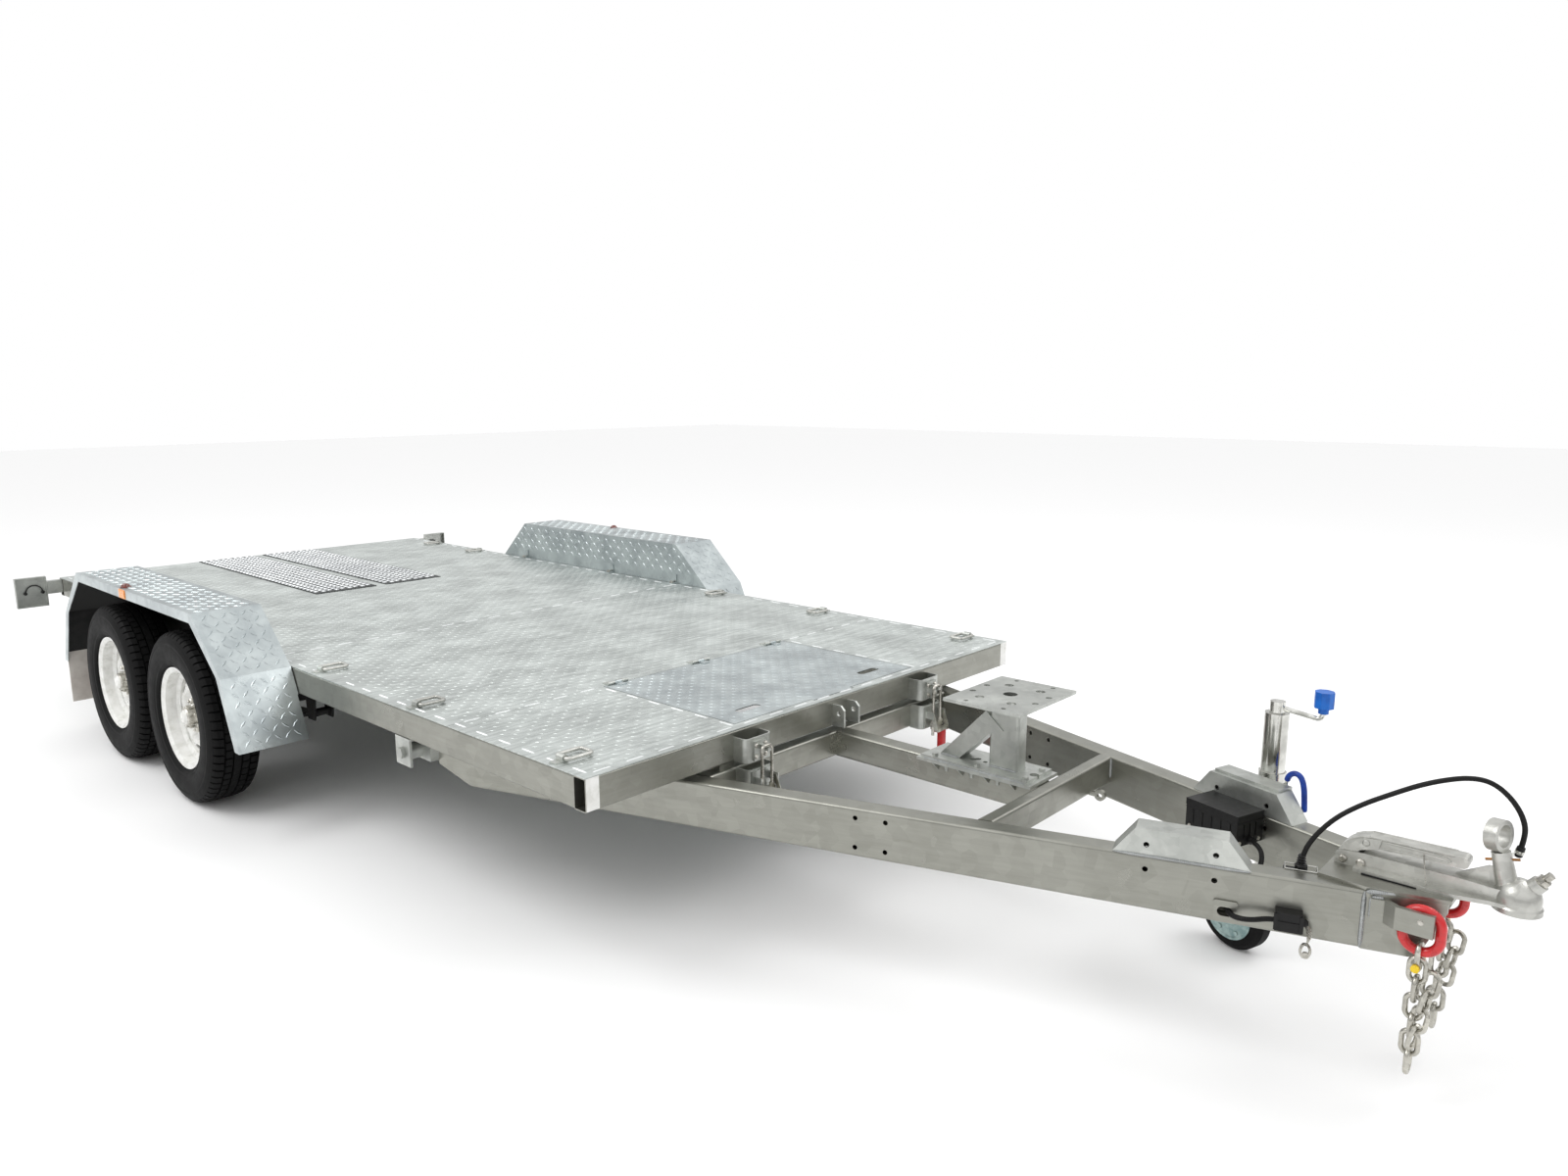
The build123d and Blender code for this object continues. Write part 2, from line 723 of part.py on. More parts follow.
for number, wheel_x in enumerate(axle_xs, 1):
    wheel_axis = Axis((wheel_x, 0, axle_z), (0, 1, 0))
    for side in (1, -1):
        flat = Plane(origin=(wheel_x, 0, axle_z), x_dir=(0, 0, 1), z_dir=(-1, 0, 0))
        with BuildPart() as rim:
            with BuildSketch(flat):
                with BuildLine():
                    Polyline((rim_flange_r, side * rim_outer_y), (rim_flange_r, side * (rim_outer_y - 8)),
                             (rim_flange_r - 14, side * (rim_outer_y - 12)),
                             (rim_flange_r - 17, side * (rim_outer_y - 48)),
                             (rim_flange_r - 34, side * (rim_outer_y - 58)),
                             (rim_flange_r - 34, side * (rim_outer_y - 92)),
                             (rim_flange_r - 16, side * (rim_outer_y - 104)),
                             (rim_flange_r - 14, side * (rim_outer_y - rim_w + 12)),
                             (rim_flange_r, side * (rim_outer_y - rim_w + 8)),
                             (rim_flange_r, side * (rim_outer_y - rim_w)),
                             (rim_flange_r - 4, side * (rim_outer_y - rim_w)),
                             (rim_flange_r - 18, side * (rim_outer_y - rim_w + 9)),
                             (rim_flange_r - 20, side * (rim_outer_y - 107)),
                             (rim_flange_r - 38, side * (rim_outer_y - 95)),
                             (rim_flange_r - 38, side * (rim_outer_y - 55)),
                             (rim_flange_r - 21, side * (rim_outer_y - 45)),
                             (rim_flange_r - 18, side * (rim_outer_y - 9)),
                             (rim_flange_r - 4, side * rim_outer_y), close=True)
                make_face()
            revolve(axis=wheel_axis)
            with BuildSketch(flat):
                with BuildLine():
                    Polyline((hub_bore_r, side * (disc_y - 4)), (80, side * (disc_y - 4)),
                             (95, side * (disc_y + 10)),
                             (125, side * (disc_y + 6)), (rim_flange_r - 37, side * (disc_y - 14)),
                             (rim_flange_r - 37, side * (disc_y - 19)), (124, side * (disc_y + 1)),
                             (97, side * (disc_y + 5)), (82, side * (disc_y - 9)),
                             (hub_bore_r, side * (disc_y - 9)),
                             close=True)
                make_face()
            revolve(axis=wheel_axis)
            with BuildSketch(flat):
                with BuildLine():
                    Polyline((stub_r + running_gap, side * (axle_end_y + 1)),
                             (hub_r + 42, side * (axle_end_y + 1)),
                             (hub_r + 42, side * (axle_end_y + 50)), (hub_r, side * (axle_end_y + 60)),
                             (hub_r + 30, side * (disc_y - 22)), (hub_r + 30, side * (disc_y - 9)),
                             (hub_bore_r, side * (disc_y - 9)), (hub_bore_r, side * (disc_y + 36)),
                             (stub_r - 4, side * (disc_y + 50)), (0, side * (disc_y + 50)),
                             (0, side * (stub_end_y + 0.5)),
                             (stub_r + running_gap, side * (stub_end_y + 0.5)),
                             close=True)
                make_face()
            revolve(axis=wheel_axis)
            with BuildSketch(upright(side, disc_y - window_reach, disc_y + window_reach)):
                with Locations((wheel_x, axle_z)):
                    with PolarLocations(window_ring_r, rim_windows):
                        RectangleRounded(window_h, window_w, window_corner_r)
            extrude(amount=2 * window_reach, mode=Mode.SUBTRACT)
        save(rim.part, f"rim_{side_name(side)}_{number}")
        with BuildPart() as tyre:
            half = tyre_w / 2
            with BuildSketch(flat):
                with BuildLine():
                    Polyline((rim_flange_r - 13.7, side * (rim_mid_y + rim_w / 2 - 12.5)),
                             (rim_flange_r + 0.5, side * (rim_mid_y + rim_w / 2 - 8.5)),
                             (rim_flange_r + 14, side * (rim_mid_y + half - 9)),
                             (rim_flange_r + 52, side * (rim_mid_y + half)),
                             (tyre_r - 34, side * (rim_mid_y + half - 5)),
                             (tyre_r - 9, side * (rim_mid_y + half - 20)),
                             (tyre_r, side * (rim_mid_y + half - 42)),
                             (tyre_r, side * (rim_mid_y - half + 42)),
                             (tyre_r - 9, side * (rim_mid_y - half + 20)),
                             (tyre_r - 34, side * (rim_mid_y - half + 5)),
                             (rim_flange_r + 52, side * (rim_mid_y - half)),
                             (rim_flange_r + 14, side * (rim_mid_y - half + 9)),
                             (rim_flange_r + 0.5, side * (rim_mid_y - rim_w / 2 + 8.5)),
                             (rim_flange_r - 13.7, side * (rim_mid_y - rim_w / 2 + 12.5)), close=True)
                make_face()
            revolve(axis=wheel_axis)
        save(tyre.part, f"tyre_{side_name(side)}_{number}")


# Drawbar: two beams that meet at the nose, with the members between them
slope = tan(radians(beam_angle))
drawbar_bottom = drawbar_top - beam_h
beam_mid_z = drawbar_top - beam_h / 2


def beam_spot(back, inward, z):
    """Point a distance back from the nose along the left beam and inward from its outer face."""
    return (nose_x - back * cos_a - inward * sin_a, beam_front_y + back * sin_a - inward * cos_a, z)


def beam_frame(back, inward, z):
    """Plane square to the left beam, facing the nose, with its own y upward."""
    return Plane(origin=beam_spot(back, inward, z), x_dir=(-sin_a, -cos_a, 0), z_dir=(cos_a, -sin_a, 0))


def beam_wall(back, inward, z):
    """Plane along the left beam, facing outward, with its own x running back and y upward."""
    return Plane(origin=beam_spot(back, inward, z), x_dir=(-cos_a, sin_a, 0), z_dir=(sin_a, cos_a, 0))


def inner_y(x):
    """Distance of a beam's inner face from the middle at a given x."""
    return beam_front_y - beam_w / cos_a + (nose_x - x) * slope


def between_beams(x0, x1, z0, z1):
    """Space between the inner faces of both beams."""
    with BuildPart() as space:
        with BuildSketch(Plane.XY.offset(z0)):
            with BuildLine():
                Polyline((x0, inner_y(x0)), (x1, inner_y(x1)), (x1, -inner_y(x1)), (x0, -inner_y(x0)),
                         close=True)
            make_face()
        extrude(amount=z1 - z0)
    return space.part


with BuildPart() as drawbar_beam:
    add(box_tube(beam_frame(beam_length + beam_w, beam_w / 2, beam_mid_z), beam_w, beam_h, beam_wall_t,
                 beam_length + 2 * beam_w))
    for x0 in (nose_x, heel_x - 2 * beam_h):
        add(block(x0, x0 + 2 * beam_h, -deck_half, 2 * deck_half, drawbar_bottom - 1, drawbar_top + 1),
            mode=Mode.SUBTRACT)
    # The heel is cut away to clear the pivot brackets as the drawbar folds
    with BuildSketch(Plane.XZ.offset(-deck_width)):
        with BuildLine():
            Polyline((heel_x - 1, drawbar_bottom - 1), (heel_x + heel_l, drawbar_bottom - 1),
                     (heel_x - 1, drawbar_bottom + heel_h), close=True)
        make_face()
    extrude(amount=deck_width, mode=Mode.SUBTRACT)
    with BuildSketch(beam_wall(0, -1, beam_mid_z)):
        for back in brake_hole_backs:
            with Locations((back, -brake_hole_rise), (back, brake_hole_rise)):
                Circle(fixing_hole_r)
        with Locations(*[(riser_back - riser_base / 2 + step, riser_low_hole_z - beam_mid_z)
                         for step in (-riser_hole_pitch / 2, riser_hole_pitch / 2)]):
            Circle(fixing_hole_r)
    extrude(amount=-beam_w - 2, mode=Mode.SUBTRACT)
save(drawbar_beam.part, "drawbar_beam_left")

# The right beam has a doubler plate too, whose oval hole lets the conduit through
with BuildPart() as right_beam:
    add(mirror(drawbar_beam.part, about=Plane.XZ))
    doubler_plane = Plane(origin=(nose_x - doubler_back * cos_a, doubler_back * sin_a * -1 - beam_front_y,
                                  doubler_z),
                          x_dir=(-cos_a, -sin_a, 0), z_dir=(sin_a, -cos_a, 0))
    with BuildSketch(doubler_plane):
        RectangleRounded(doubler_w, doubler_w, 6)
    extrude(amount=doubler_t)
    with BuildSketch(doubler_plane.offset(doubler_t + 1)):
        SlotOverall(doubler_slot_l, doubler_slot_w)
    extrude(amount=-beam_w - doubler_t - 2, mode=Mode.SUBTRACT)
save(right_beam.part, "drawbar_beam_right")

with BuildPart() as riser:
    with BuildSketch(beam_wall(riser_back, 0, drawbar_top)):
        with BuildLine():
            Polyline((0, 0), (-riser_rake, riser_h), (riser_rake - riser_base, riser_h), (-riser_base, 0),
                     close=True)
        make_face()
    extrude(amount=-beam_w)
    offset(amount=-riser_sheet, openings=[riser.faces().sort_by(Axis.Z)[0]])
    with BuildSketch(beam_wall(riser_back - riser_base / 2, -1, drawbar_top + riser_hole_z)):
        with Locations((-riser_hole_pitch / 2, 0), (riser_hole_pitch / 2, 0)):
            Circle(fixing_hole_r)
    extrude(amount=-beam_w - 2, mode=Mode.SUBTRACT)
with BuildPart() as beam_risers:
    add(riser.part)
    mirror(about=Plane.XZ)
save(beam_risers.part, "beam_risers")

# Pivot arms and eyes at the rear ends, tied by a cross tube
with BuildPart() as pivot_arms:
    for side in (1, -1):
        add(slab(side, pivot_arm_y, pivot_arm_y + pivot_arm_w,
                 [(pivot_x, pivot_z - pivot_eye_r), (heel_x, pivot_z - pivot_eye_r),
                  (heel_x, drawbar_top - 6), (pivot_x, pivot_z + pivot_eye_r)]))
        add(cross_rod(side, pivot_x, pivot_z, pivot_eye_r, pivot_arm_y, pivot_arm_y + pivot_eye_l))
        add(cross_rod(side, pivot_x, pivot_z, pivot_pin_r + running_gap, pivot_arm_y - 1,
                      pivot_arm_y + pivot_eye_l + 1), mode=Mode.SUBTRACT)
save(pivot_arms.part, "pivot_arms")

rest_front = deck_front + rest_proud
cross_x = deck_front + crossmember_x
with BuildPart() as drawbar_crossmembers:
    add(box_tube(across(heel_x + rear_tube_from_heel, drawbar_top - rear_tube_h / 2).offset(-deck_half),
                 rear_tube_w, rear_tube_h, beam_wall_t, deck_width))
    add(box_tube(across(rest_front - rest_beam_w / 2, drawbar_top - rest_beam_h / 2).offset(-deck_half),
                 rest_beam_w, rest_beam_h, beam_wall_t, deck_width))
    add(box_tube(across(cross_x, drawbar_top - crossmember_h / 2).offset(-deck_half),
                 crossmember_w, crossmember_h, beam_wall_t, deck_width))
    add(between_beams(heel_x, nose_x, drawbar_bottom, drawbar_top), mode=Mode.INTERSECT)
    # Eye bolt for the breakaway line on the front face of the front crossmember
    eye_x = cross_x + crossmember_w / 2 + eye_out
    add(cross_rod(1, eye_x, eye_bolt_z, eye_bolt_r + 10, eye_bolt_y - eye_bolt_r, eye_bolt_y + eye_bolt_r))
    add(cross_rod(1, eye_x, eye_bolt_z, eye_bolt_r + 2, eye_bolt_y - eye_bolt_r - 1,
                  eye_bolt_y + eye_bolt_r + 1),
        mode=Mode.SUBTRACT)
    add(block(eye_x - eye_out - 1, eye_x - eye_bolt_r - 4, eye_bolt_y - eye_bolt_r, eye_bolt_y + eye_bolt_r,
              eye_bolt_z - eye_bolt_r, eye_bolt_z + eye_bolt_r))
    # Rest pads on the rest beam carry the deck's front beam when it is down
    for y in (-rest_pad_y, rest_pad_y):
        add(block(rest_front - rest_beam_w + 4, deck_front - 4, y - rest_pad_l / 2, y + rest_pad_l / 2,
                  drawbar_top - 1, frame_bottom - seat_gap))
save(drawbar_crossmembers.part, "drawbar_crossmembers")

with BuildPart() as centre_beam:
    add(box_tube(along(rest_front, 0, drawbar_top - rest_beam_h / 2), centre_beam_w, rest_beam_h,
                 beam_wall_t,
                 cross_x - crossmember_w / 2 - rest_front))
save(centre_beam.part, "centre_beam")

# Pivot brackets under the deck's side beams, with their bolts
bracket_in = pivot_arm_y - pivot_side_gap - pivot_cheek_t
with BuildPart() as pivot_brackets:
    for side in (1, -1):
        for y_in in (bracket_in, deck_half - pivot_cheek_t):
            with BuildSketch(upright(side, y_in, y_in + pivot_cheek_t)):
                with Locations((pivot_x, (frame_bottom + pivot_cheek_low) / 2)):
                    Rectangle(pivot_cheek_l, frame_bottom - pivot_cheek_low)
                with Locations((pivot_x, pivot_z)):
                    Circle(pivot_pin_r + running_gap, mode=Mode.SUBTRACT)
            extrude(amount=pivot_cheek_t)
        add(block(pivot_x - pivot_cheek_l / 2, pivot_x + pivot_cheek_l / 2,
                  *sorted((side * bracket_in, side * deck_half)), frame_bottom - pivot_cheek_t,
                  frame_bottom))
with pivot_brackets:
    for side in (1, -1):
        add(cross_rod(side, pivot_x, pivot_z, pivot_pin_r, bracket_in - 12, deck_half + 1))
        for y_in in (bracket_in - 14, deck_half + seat_gap):
            with BuildSketch(upright(side, y_in, y_in + 12)):
                with Locations((pivot_x, pivot_z)):
                    RegularPolygon(pivot_pin_r * 1.5, 6)
            extrude(amount=12)
save(pivot_brackets.part, "pivot_brackets")

# Nose box and the plate that the coupling stands on
with BuildPart() as nose_box:
    tip_x = nose_x + nose_l
    tip_y = beam_front_y - nose_l * slope
    with BuildSketch(Plane.XY.offset(drawbar_bottom)):
        with BuildLine():
            Polyline((nose_x, beam_front_y), (tip_x, tip_y), (tip_x, -tip_y), (nose_x, -beam_front_y),
                     close=True)
        make_face()
        with BuildLine():
            Polyline((nose_x, beam_front_y - nose_t), (tip_x, tip_y - nose_t), (tip_x, -tip_y + nose_t),
                     (nose_x, -beam_front_y + nose_t), close=True)
        make_face(mode=Mode.SUBTRACT)
    extrude(amount=beam_h)
    add(slab(1, 0, 300, [(tip_x - nose_rake, drawbar_bottom - 1), (tip_x + 1, drawbar_top - 20),
                         (tip_x + 1, drawbar_bottom - 1)]), mode=Mode.SUBTRACT)
    add(slab(-1, 0, 300, [(tip_x - nose_rake, drawbar_bottom - 1), (tip_x + 1, drawbar_top - 20),
                          (tip_x + 1, drawbar_bottom - 1)]), mode=Mode.SUBTRACT)
with nose_box:
    with BuildSketch(Plane.XY.offset(drawbar_top)):
        with BuildLine():
            rear_x = nose_x - nose_plate_back
            Polyline((rear_x, nose_plate_y), (nose_x, nose_plate_y + 6), (tip_x + 6, tip_y - 2),
                     (tip_x + 6, -tip_y + 2), (nose_x, -nose_plate_y - 6), (rear_x, -nose_plate_y),
                     close=True)
        make_face()
    extrude(amount=nose_plate_t)
save(nose_box.part, "nose_box")

# Winch post on the centre beam, behind the front crossmember
post_x = deck_front + winch_post_x
base_x0 = post_x - winch_base_back
base_x1 = cross_x - crossmember_w / 2
base_top = drawbar_top + 2 * winch_base_t
plate_x = deck_front + winch_plate_x
plate_bottom = winch_top - winch_plate_t
with BuildPart() as winch_base:
    add(block(base_x0 - 12, base_x1, -winch_base_w / 2 - 6, winch_base_w / 2 + 6,
              drawbar_top, drawbar_top + winch_base_t))
    add(block(base_x0, base_x1 - 14, -winch_base_w / 2, winch_base_w / 2, drawbar_top + winch_base_t,
              base_top))
    # Spare fixing holes of the upper plate, blind where the lower one closes them
    with BuildSketch(Plane.XY.offset(base_top)):
        with Locations((post_x - 100, -5)):
            SlotOverall(34, 16, rotation=50)
        with Locations((post_x - 66, -8)):
            Circle(7)
        with Locations((post_x + 90, -8)):
            Circle(13)
    extrude(amount=-winch_base_t, mode=Mode.SUBTRACT)
    for x, y in ((-65, 52), (-65, -52), (-207, -52), (-207, 52), (88, 38), (88, -52)):
        with BuildSketch(Plane.XY.offset(base_top)):
            with Locations((post_x + x, y)):
                RegularPolygon(10, 6)
        extrude(amount=7)
save(winch_base.part, "winch_base")
with BuildPart() as winch_post:
    add(box_tube(Plane(origin=(post_x, 0, base_top), x_dir=(1, 0, 0), z_dir=(0, 0, 1)),
                 winch_post_l, winch_post_w, beam_wall_t, plate_bottom - base_top))
    rear = post_x - winch_post_l / 2
    add(slab(1, -brace_w / 2, brace_w / 2,
             [(post_x - 206, base_top), (post_x - 141, base_top), (rear, plate_bottom - 110),
              (post_x, plate_bottom - 92), (post_x - 57, plate_bottom - 44)]))
save(winch_post.part, "winch_post")
with BuildPart() as winch_plate:
    with BuildSketch(Plane.XY.offset(plate_bottom)):
        with Locations((plate_x, 0)):
            Rectangle(winch_plate_l, winch_plate_w)
            Circle(winch_bore_r, mode=Mode.SUBTRACT)
            with GridLocations(wide_hole_dx, wide_hole_dy, 2, 2):
                Circle(wide_hole_r, mode=Mode.SUBTRACT)
            with GridLocations(side_hole_dx, side_hole_dy, 2, 2):
                Circle(side_hole_r, mode=Mode.SUBTRACT)
            with GridLocations(end_hole_dx, end_hole_dy, 2, 2):
                Circle(end_hole_r, mode=Mode.SUBTRACT)
    extrude(amount=winch_plate_t)
save(winch_plate.part, "winch_plate")


# Deck catches and drawbar latch bases: matching channels welded to the two front faces
def channel(x_back, y, z0, z1):
    """Rounded channel, open at top and bottom, whose two walls meet the face behind it."""
    with BuildPart() as piece:
        with BuildSketch(Plane.XY.offset(z0)):
            with Locations((x_back, y)):
                RectangleRounded(2 * channel_d, channel_w, channel_round)
                RectangleRounded(2 * (channel_d - channel_t), channel_w - 2 * channel_t,
                                 channel_round - channel_t, mode=Mode.SUBTRACT)
            with Locations((x_back - channel_d / 2, y)):
                Rectangle(channel_d, channel_w, mode=Mode.SUBTRACT)
        extrude(amount=z1 - z0)
    return piece.part


latch_face = deck_front + channel_d
loop_x = latch_face + hook_reach - loop_rod_r - 6
with BuildPart() as deck_catches:
    for side in (1, -1):
        y = side * latch_y
        add(channel(deck_front, y, frame_bottom + 2, deck_top - 20))
        add(block(latch_face - 1, latch_face + 6, y - 26, y + 26, frame_bottom + 6, deck_top - 30))
        add(block(latch_face + 5, loop_x - loop_rod_r - seat_gap, y - hook_half, y + hook_half,
                  hook_z - 14, hook_z))
        add(block(loop_x - loop_rod_r - seat_gap - 6, latch_face + hook_reach, y - hook_half, y + hook_half,
                  hook_z - 14, hook_z - loop_rod_r - 1))
save(deck_catches.part, "deck_catches")

with BuildPart() as latch_loops:
    for side in (1, -1):
        y = side * latch_y
        with BuildLine(Plane.YZ.offset(loop_x)) as loop_path:
            FilletPolyline((y - loop_half, rod_bottom), (y - loop_half, hook_z), (y + loop_half, hook_z),
                           (y + loop_half, rod_bottom), radius=loop_half * 0.65)
        with BuildSketch(Plane(origin=(loop_x, y - loop_half, rod_bottom), z_dir=(0, 0, 1))):
            Circle(loop_rod_r)
        sweep(path=loop_path.wire())
        add(block(loop_x - 8, loop_x + 8, y - yoke_half, y + yoke_half, yoke_z - 8, yoke_z + 8))
save(latch_loops.part, "latch_loops")

ear_in = yoke_half + 1 + cheek_t + 0.5
with BuildPart() as latch_bases:
    for side in (1, -1):
        y = side * latch_y
        add(channel(rest_front, y, drawbar_top - rest_beam_h, drawbar_top))
        add(block(rest_front + channel_d - 1, rest_front + channel_d + 5, y - 44, y + 44,
                  drawbar_top - rest_beam_h + 4, drawbar_top - 4))
        for end in (-1, 1):
            y0 = y + end * ear_in
            add(block(rest_front + channel_d, loop_x + 12, *sorted((y0, y0 + end * cheek_t)),
                      lever_z - 12, lever_z + 12))
            with BuildSketch(Plane.XZ.offset(-max(y + end * (yoke_half + 1.5), y0 + end * cheek_t))):
                with Locations((loop_x, lever_z)):
                    Circle(5)
            extrude(amount=cheek_t + ear_in - yoke_half - 1.5)
save(latch_bases.part, "latch_bases")

for side in (1, -1):
    y = side * latch_y
    with BuildPart() as latch_lever:
        for end in (-1, 1):
            y0 = y + end * (yoke_half + 1)
            with BuildSketch(Plane.XZ.offset(-max(y0, y0 + end * cheek_t))):
                with BuildLine():
                    Polyline((loop_x - 9, lever_z), (loop_x - 9, lever_z + 9), (loop_x + 9, lever_z + 9),
                             (loop_x + 26, lever_z - 30), (loop_x + 30, grip_top - 2),
                             (loop_x + 14, grip_top - 2),
                             (loop_x + 10, lever_z - 26), close=True)
                make_face()
                with Locations((loop_x, lever_z)):
                    Circle(5.3, mode=Mode.SUBTRACT)
            extrude(amount=cheek_t)
        add(block(loop_x + 14, loop_x + 30, y - yoke_half - 1, y + yoke_half + 1, grip_top - 2,
                  grip_top + 10))
    with latch_lever:
        with BuildSketch(Plane.XY.offset(grip_top - 2)):
            with Locations((loop_x + 22, y)):
                RectangleRounded(22, 30, 8)
        extrude(amount=-grip_l)
    save(latch_lever.part, f"latch_lever_{side_name(side)}")

# Centre clevis on the deck's front face
with BuildPart() as centre_clevis:
    for y in (-clevis_half, clevis_half):
        with BuildSketch(Plane.XZ.offset(-y - clevis_t / 2)):
            with BuildLine():
                Polyline((deck_front, frame_bottom + 4), (deck_front + 48, frame_bottom + 4),
                         (deck_front + 48, deck_top - 34), (deck_front + 34, deck_top - 20),
                         (deck_front, deck_top - 20), close=True)
            make_face()
            with Locations((deck_front + 28, (frame_bottom + deck_top) / 2)):
                Circle(8.5, mode=Mode.SUBTRACT)
        extrude(amount=clevis_t)
save(centre_clevis.part, "centre_clevis")


# Ball coupling with its lever, on the nose plate
plate_top = drawbar_top + nose_plate_t
lever_pivot_x = nose_x - lever_back
lever_pivot_z = plate_top + lever_rise
ball_x = deck_front + coupling_ball_x
ball_z = plate_top + ball_rise
dome_z = plate_top + head_h - head_r
cast_top = plate_top + cast_h
bolt_way = (cos(radians(bolt_pitch)), 0, sin(radians(bolt_pitch)))
bolt_l = (bolt_tip_reach - bolt_r * bolt_way[2]) / bolt_way[0]


def bolt_plane(distance):
    """Plane square to the clamp bolt, a distance out from the middle of the head."""
    return Plane(origin=(ball_x + distance * bolt_way[0], 0, dome_z + distance * bolt_way[2]),
                 x_dir=(0, 1, 0), z_dir=bolt_way)


with BuildPart() as coupling_body:
    with BuildSketch(Plane.XY.offset(plate_top)):
        with BuildLine():
            Polyline((nose_x - flange_tail, flange_half - 4), (tip_x - 6, flange_half),
                     (ball_x - head_r, flange_neck), (ball_x, flange_neck), (ball_x, -flange_neck),
                     (ball_x - head_r, -flange_neck), (tip_x - 6, -flange_half),
                     (nose_x - flange_tail, 4 - flange_half), close=True)
        make_face()
    extrude(amount=flange_t)
    # Raised casting, with the slot at its tail that the lever turns in
    add(slab(1, -cast_half, cast_half,
             [(nose_x - cast_tail, plate_top), (nose_x - cast_tail + 6, cast_top), (tip_x, cast_top),
              (ball_x - 12, cast_top - 4), (ball_x - 12, plate_top)]))
    for y_in in (-cast_half, lever_w / 2 + 1):
        add(slab(1, y_in, y_in + cast_half - lever_w / 2 - 1,
                 [(lever_pivot_x - 15, plate_top), (nose_x - cast_tail + 4, plate_top),
                  (nose_x - cast_tail + 8, cast_top), (lever_pivot_x + 16, lever_pivot_z + 17),
                  (lever_pivot_x, lever_pivot_z + 16), (lever_pivot_x - 13, lever_pivot_z + 10)]))
    with BuildSketch(Plane.XZ):
        with BuildLine():
            Polyline((ball_x, plate_top - 10), (ball_x + head_r + 3, plate_top - 10),
                     (ball_x + head_r + 3, plate_top + 1), (ball_x + head_r, plate_top + 5),
                     (ball_x + head_r, dome_z))
            ThreePointArc((ball_x + head_r, dome_z),
                          (ball_x + head_r * sqrt(0.5), dome_z + head_r * sqrt(0.5)),
                          (ball_x, dome_z + head_r))
            Line((ball_x, plate_top + head_h), (ball_x, plate_top - 10))
        make_face()
    revolve(axis=Axis((ball_x, 0, 0), (0, 0, 1)))
    with BuildSketch(bolt_plane(0)):
        Circle(bolt_boss_r)
    extrude(amount=bolt_boss_l, taper=2)
    # Fin and leaning post that carry the ring for the plug
    lean = (-sin(radians(post_lean)), 0, cos(radians(post_lean)))
    add(slab(1, -fin_t / 2, fin_t / 2,
             [(tip_x - 10, cast_top - 2), (deck_front + post_foot_x - 40, fin_top_z),
              (deck_front + post_foot_x - 12, fin_top_z), (deck_front + post_foot_x, cast_top - 10)]))
    with BuildSketch(Plane(origin=(deck_front + post_foot_x, 0, plate_top + post_foot_rise),
                           x_dir=(0, 1, 0),
                           z_dir=lean)):
        Circle(post_r)
    extrude(amount=post_l, taper=post_taper)
    pin_x = deck_front + post_foot_x + pin_rise * lean[0]
    with BuildSketch(Plane(origin=(pin_x, 0, plate_top + post_foot_rise + pin_rise), x_dir=(0, 1, 0),
                           z_dir=(0.97, 0, 0.25))):
        Circle(2.5)
    extrude(amount=31, both=True)
    holder = Plane(origin=(deck_front + holder_x, 0, holder_z), x_dir=(0, 0, 1),
                   z_dir=(cos(radians(holder_turn)), -sin(radians(holder_turn)), 0.1))
    with BuildSketch(holder):
        Circle(holder_r)
    extrude(amount=holder_half, both=True)
    with BuildSketch(holder):
        Circle(holder_hole_r)
    extrude(amount=holder_half + 8, both=True, mode=Mode.SUBTRACT)
    with BuildSketch(Plane.XZ):
        with BuildLine():
            Polyline((ball_x, ball_z + ball_r), (ball_x, plate_top - 11), (ball_x + ball_r, plate_top - 11),
                     (ball_x + ball_r, ball_z))
            ThreePointArc((ball_x + ball_r, ball_z),
                          (ball_x + ball_r * sqrt(0.5), ball_z + ball_r * sqrt(0.5)),
                          (ball_x, ball_z + ball_r))
        make_face()
    revolve(axis=Axis((ball_x, 0, 0), (0, 0, 1)), mode=Mode.SUBTRACT)
    add(cross_rod(1, lever_pivot_x, lever_pivot_z, 6, -cast_half - 5, cast_half + 5))
    add(cross_rod(1, lever_pivot_x + 39, lever_pivot_z - 4, 7.5, -cast_half - 5, cast_half + 5))
save(coupling_body.part, "coupling_body")

# Clamp bolt on the front of the head, whose tip is the trailer's foremost point
with BuildPart() as coupling_bolt:
    with BuildSketch(bolt_plane(bolt_boss_l + seat_gap)):
        RegularPolygon(nut_r, 6)
    extrude(amount=nut_h)
    with BuildSketch(bolt_plane(bolt_boss_l + seat_gap)):
        Circle(bolt_r)
    extrude(amount=bolt_l - bolt_boss_l - seat_gap)
save(coupling_bolt.part, "coupling_bolt")

